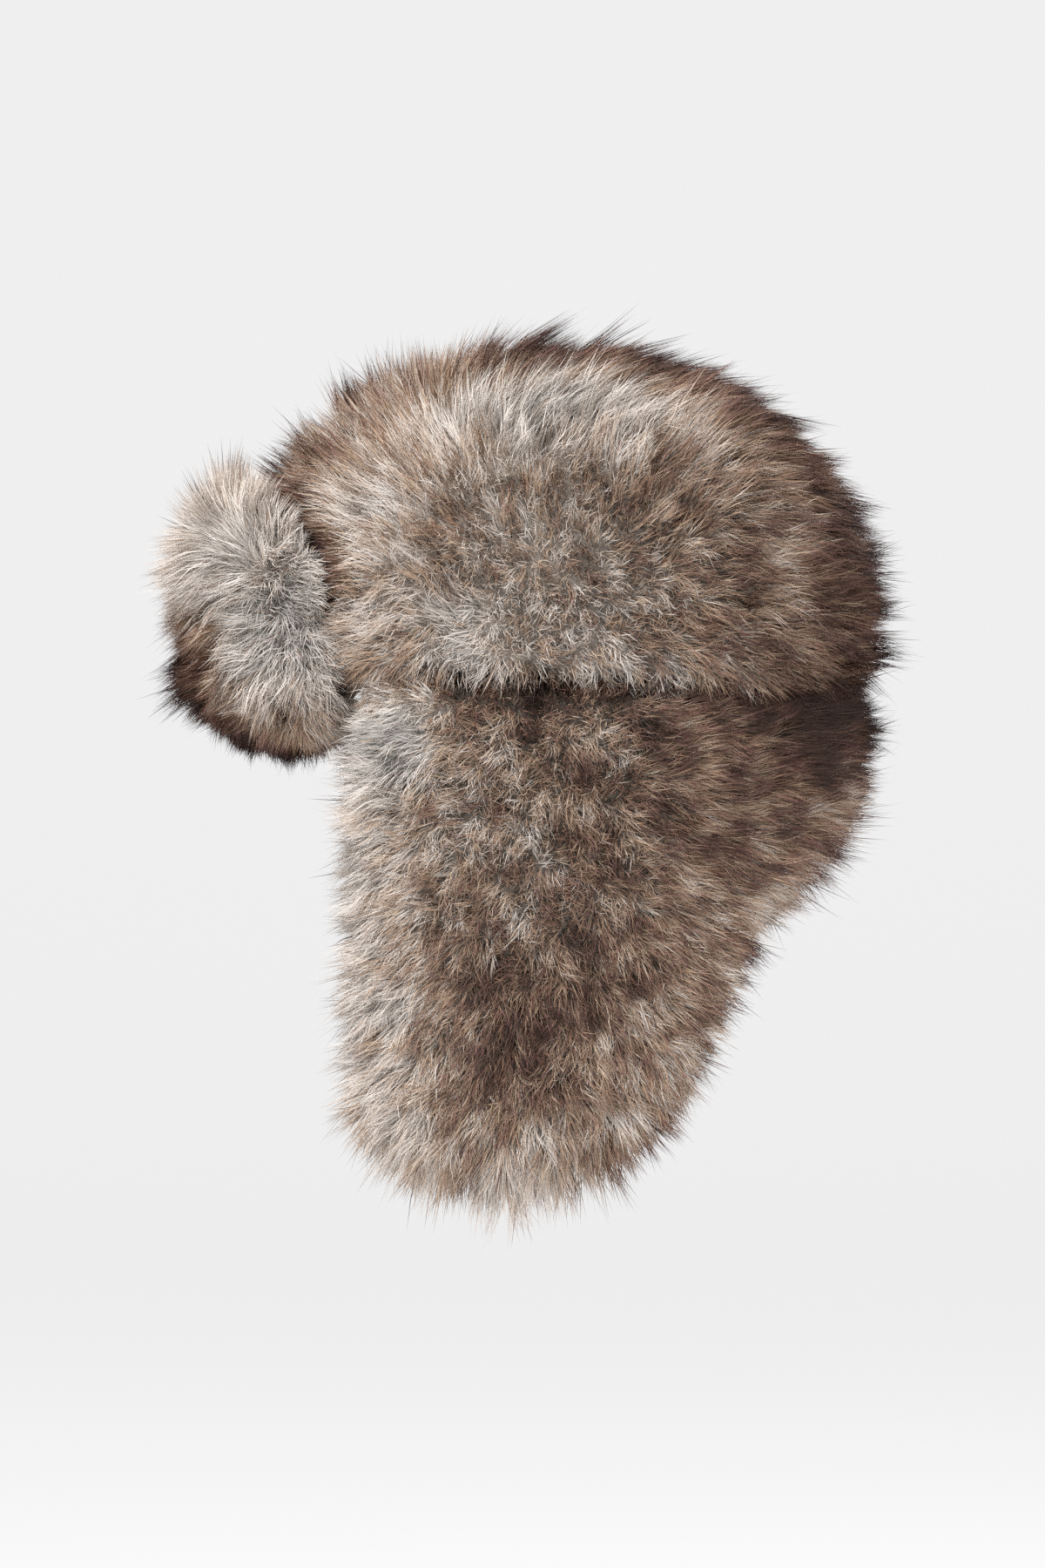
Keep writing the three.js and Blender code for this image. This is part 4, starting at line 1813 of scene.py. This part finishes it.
@dataclass
class Studio:
    """The floor, the backdrop, the lights and the camera."""

    pixels_per_mm: float = 2.8
    photo_width: int = 1200
    photo_height: int = 1800
    back_x: float = 1020.0
    back_y: float = 0.135
    seam_row: float = 787.0
    distance: float = 3.2
    floor: float = -0.62
    sensor: float = 36.0
    sight: float = 20.0
    curve: float = 0.9
    curve_steps: int = 16
    far: float = -6.0
    near: float = 6.0
    half_width: float = 6.0
    wall: float = 5.0
    floor_grey: float = 0.30
    floor_glow: float = 0.595
    sky_grey: float = 0.93
    sky_strength: float = 0.84
    lamps: tuple[Lamp, ...] = (
        Lamp("key", (1.7, -1.1, 1.5), 1.4, 60.0),
        Lamp("fill", (1.6, 1.6, 0.2), 1.6, 10.0),
        Lamp("rim", (-1.3, 0.6, 1.3), 1.2, 12.0),
    )

    def centre(self) -> Vector:
        """The point of the hat's middle plane that the photo's centre shows.

        Returns:
            The point.
        """
        across = self.back_y - (self.back_x - self.photo_width / 2) / self.pixels_per_mm * MM
        up = -HEAD.crown_depth - (self.photo_height / 2 - self.seam_row) / self.pixels_per_mm * MM
        return Vector((0.0, across, up))

    def camera(self) -> None:
        """Sets up the camera at the wearer's left, level with the hat's middle."""
        data = bpy.data.cameras.new("camera")
        data.sensor_width = self.sensor
        data.lens = self.sensor * self.distance / (self.photo_height / self.pixels_per_mm * MM)
        data.clip_end = self.sight
        camera = bpy.data.objects.new("camera", data)
        camera.location = self.centre() + Vector((self.distance, 0.0, 0.0))
        camera.rotation_euler = (math.pi / 2, 0.0, math.pi / 2)
        bpy.context.scene.collection.objects.link(camera)
        bpy.context.scene.camera = camera

    def backdrop(self) -> None:
        """Lays the floor, which curves up behind the hat."""
        radius, corner = self.curve, self.far + self.curve
        profile = [(self.near, self.floor), (corner, self.floor)]
        for step in range(1, self.curve_steps + 1):
            angle = step / self.curve_steps * math.pi / 2
            across = corner - radius * math.sin(angle)
            profile.append((across, self.floor + radius - radius * math.cos(angle)))
        profile.append((self.far, self.floor + self.wall))
        points = [(x, y, z) for x, z in profile for y in (-self.half_width, self.half_width)]
        faces = [(2 * i, 2 * i + 1, 2 * i + 3, 2 * i + 2) for i in range(len(profile) - 1)]
        sweep = mesh_object("floor", np.array(points), faces)
        material = bpy.data.materials.new("floor")
        material.use_nodes = True
        shader = material.node_tree.nodes["Principled BSDF"]
        shader.inputs["Base Color"].default_value = (*(self.floor_grey,) * 3, 1.0)
        shader.inputs["Roughness"].default_value = 1.0
        shader.inputs["Specular IOR Level"].default_value = 0.0
        shader.inputs["Emission Color"].default_value = (1.0, 1.0, 1.0, 1.0)
        shader.inputs["Emission Strength"].default_value = self.floor_glow
        sweep.data.materials.append(material)

    def light(self, lamp: Lamp) -> None:
        """Hangs a lamp that points at the hat.

        Args:
            lamp: The lamp.
        """
        data = bpy.data.lights.new(lamp.name, "AREA")
        data.size, data.energy = lamp.size, lamp.power
        thing = bpy.data.objects.new(lamp.name, data)
        thing.location = lamp.place
        thing.rotation_euler = (self.centre() - Vector(lamp.place)).to_track_quat("-Z", "Y").to_euler()
        bpy.context.scene.collection.objects.link(thing)

    def build(self) -> None:
        """Builds the whole studio."""
        self.camera()
        self.backdrop()
        for lamp in self.lamps:
            self.light(lamp)
        world = bpy.data.worlds.new("studio")
        world.use_nodes = True
        world.node_tree.nodes["Background"].inputs["Color"].default_value = (*(self.sky_grey,) * 3, 1.0)
        world.node_tree.nodes["Background"].inputs["Strength"].default_value = self.sky_strength
        bpy.context.scene.world = world
        bpy.context.scene.view_settings.view_transform = "Standard"
        bpy.context.scene.cycles.use_denoising = False


def main() -> None:
    """Builds the studio and the hat, and reports each piece."""
    logging.basicConfig(level=logging.INFO, format="%(name)s: %(message)s")
    Studio().build()
    materials = {finish.name: finish.material() for finish in (UNDERFUR, GUARD_HAIR, MATTED_BASE, BACKING)}
    tree = FurTree()
    for piece in (Crown(), FrontFlap(), EarNeckFlap()):
        piece.build(tree, materials)


if __name__ == "__main__":
    main()
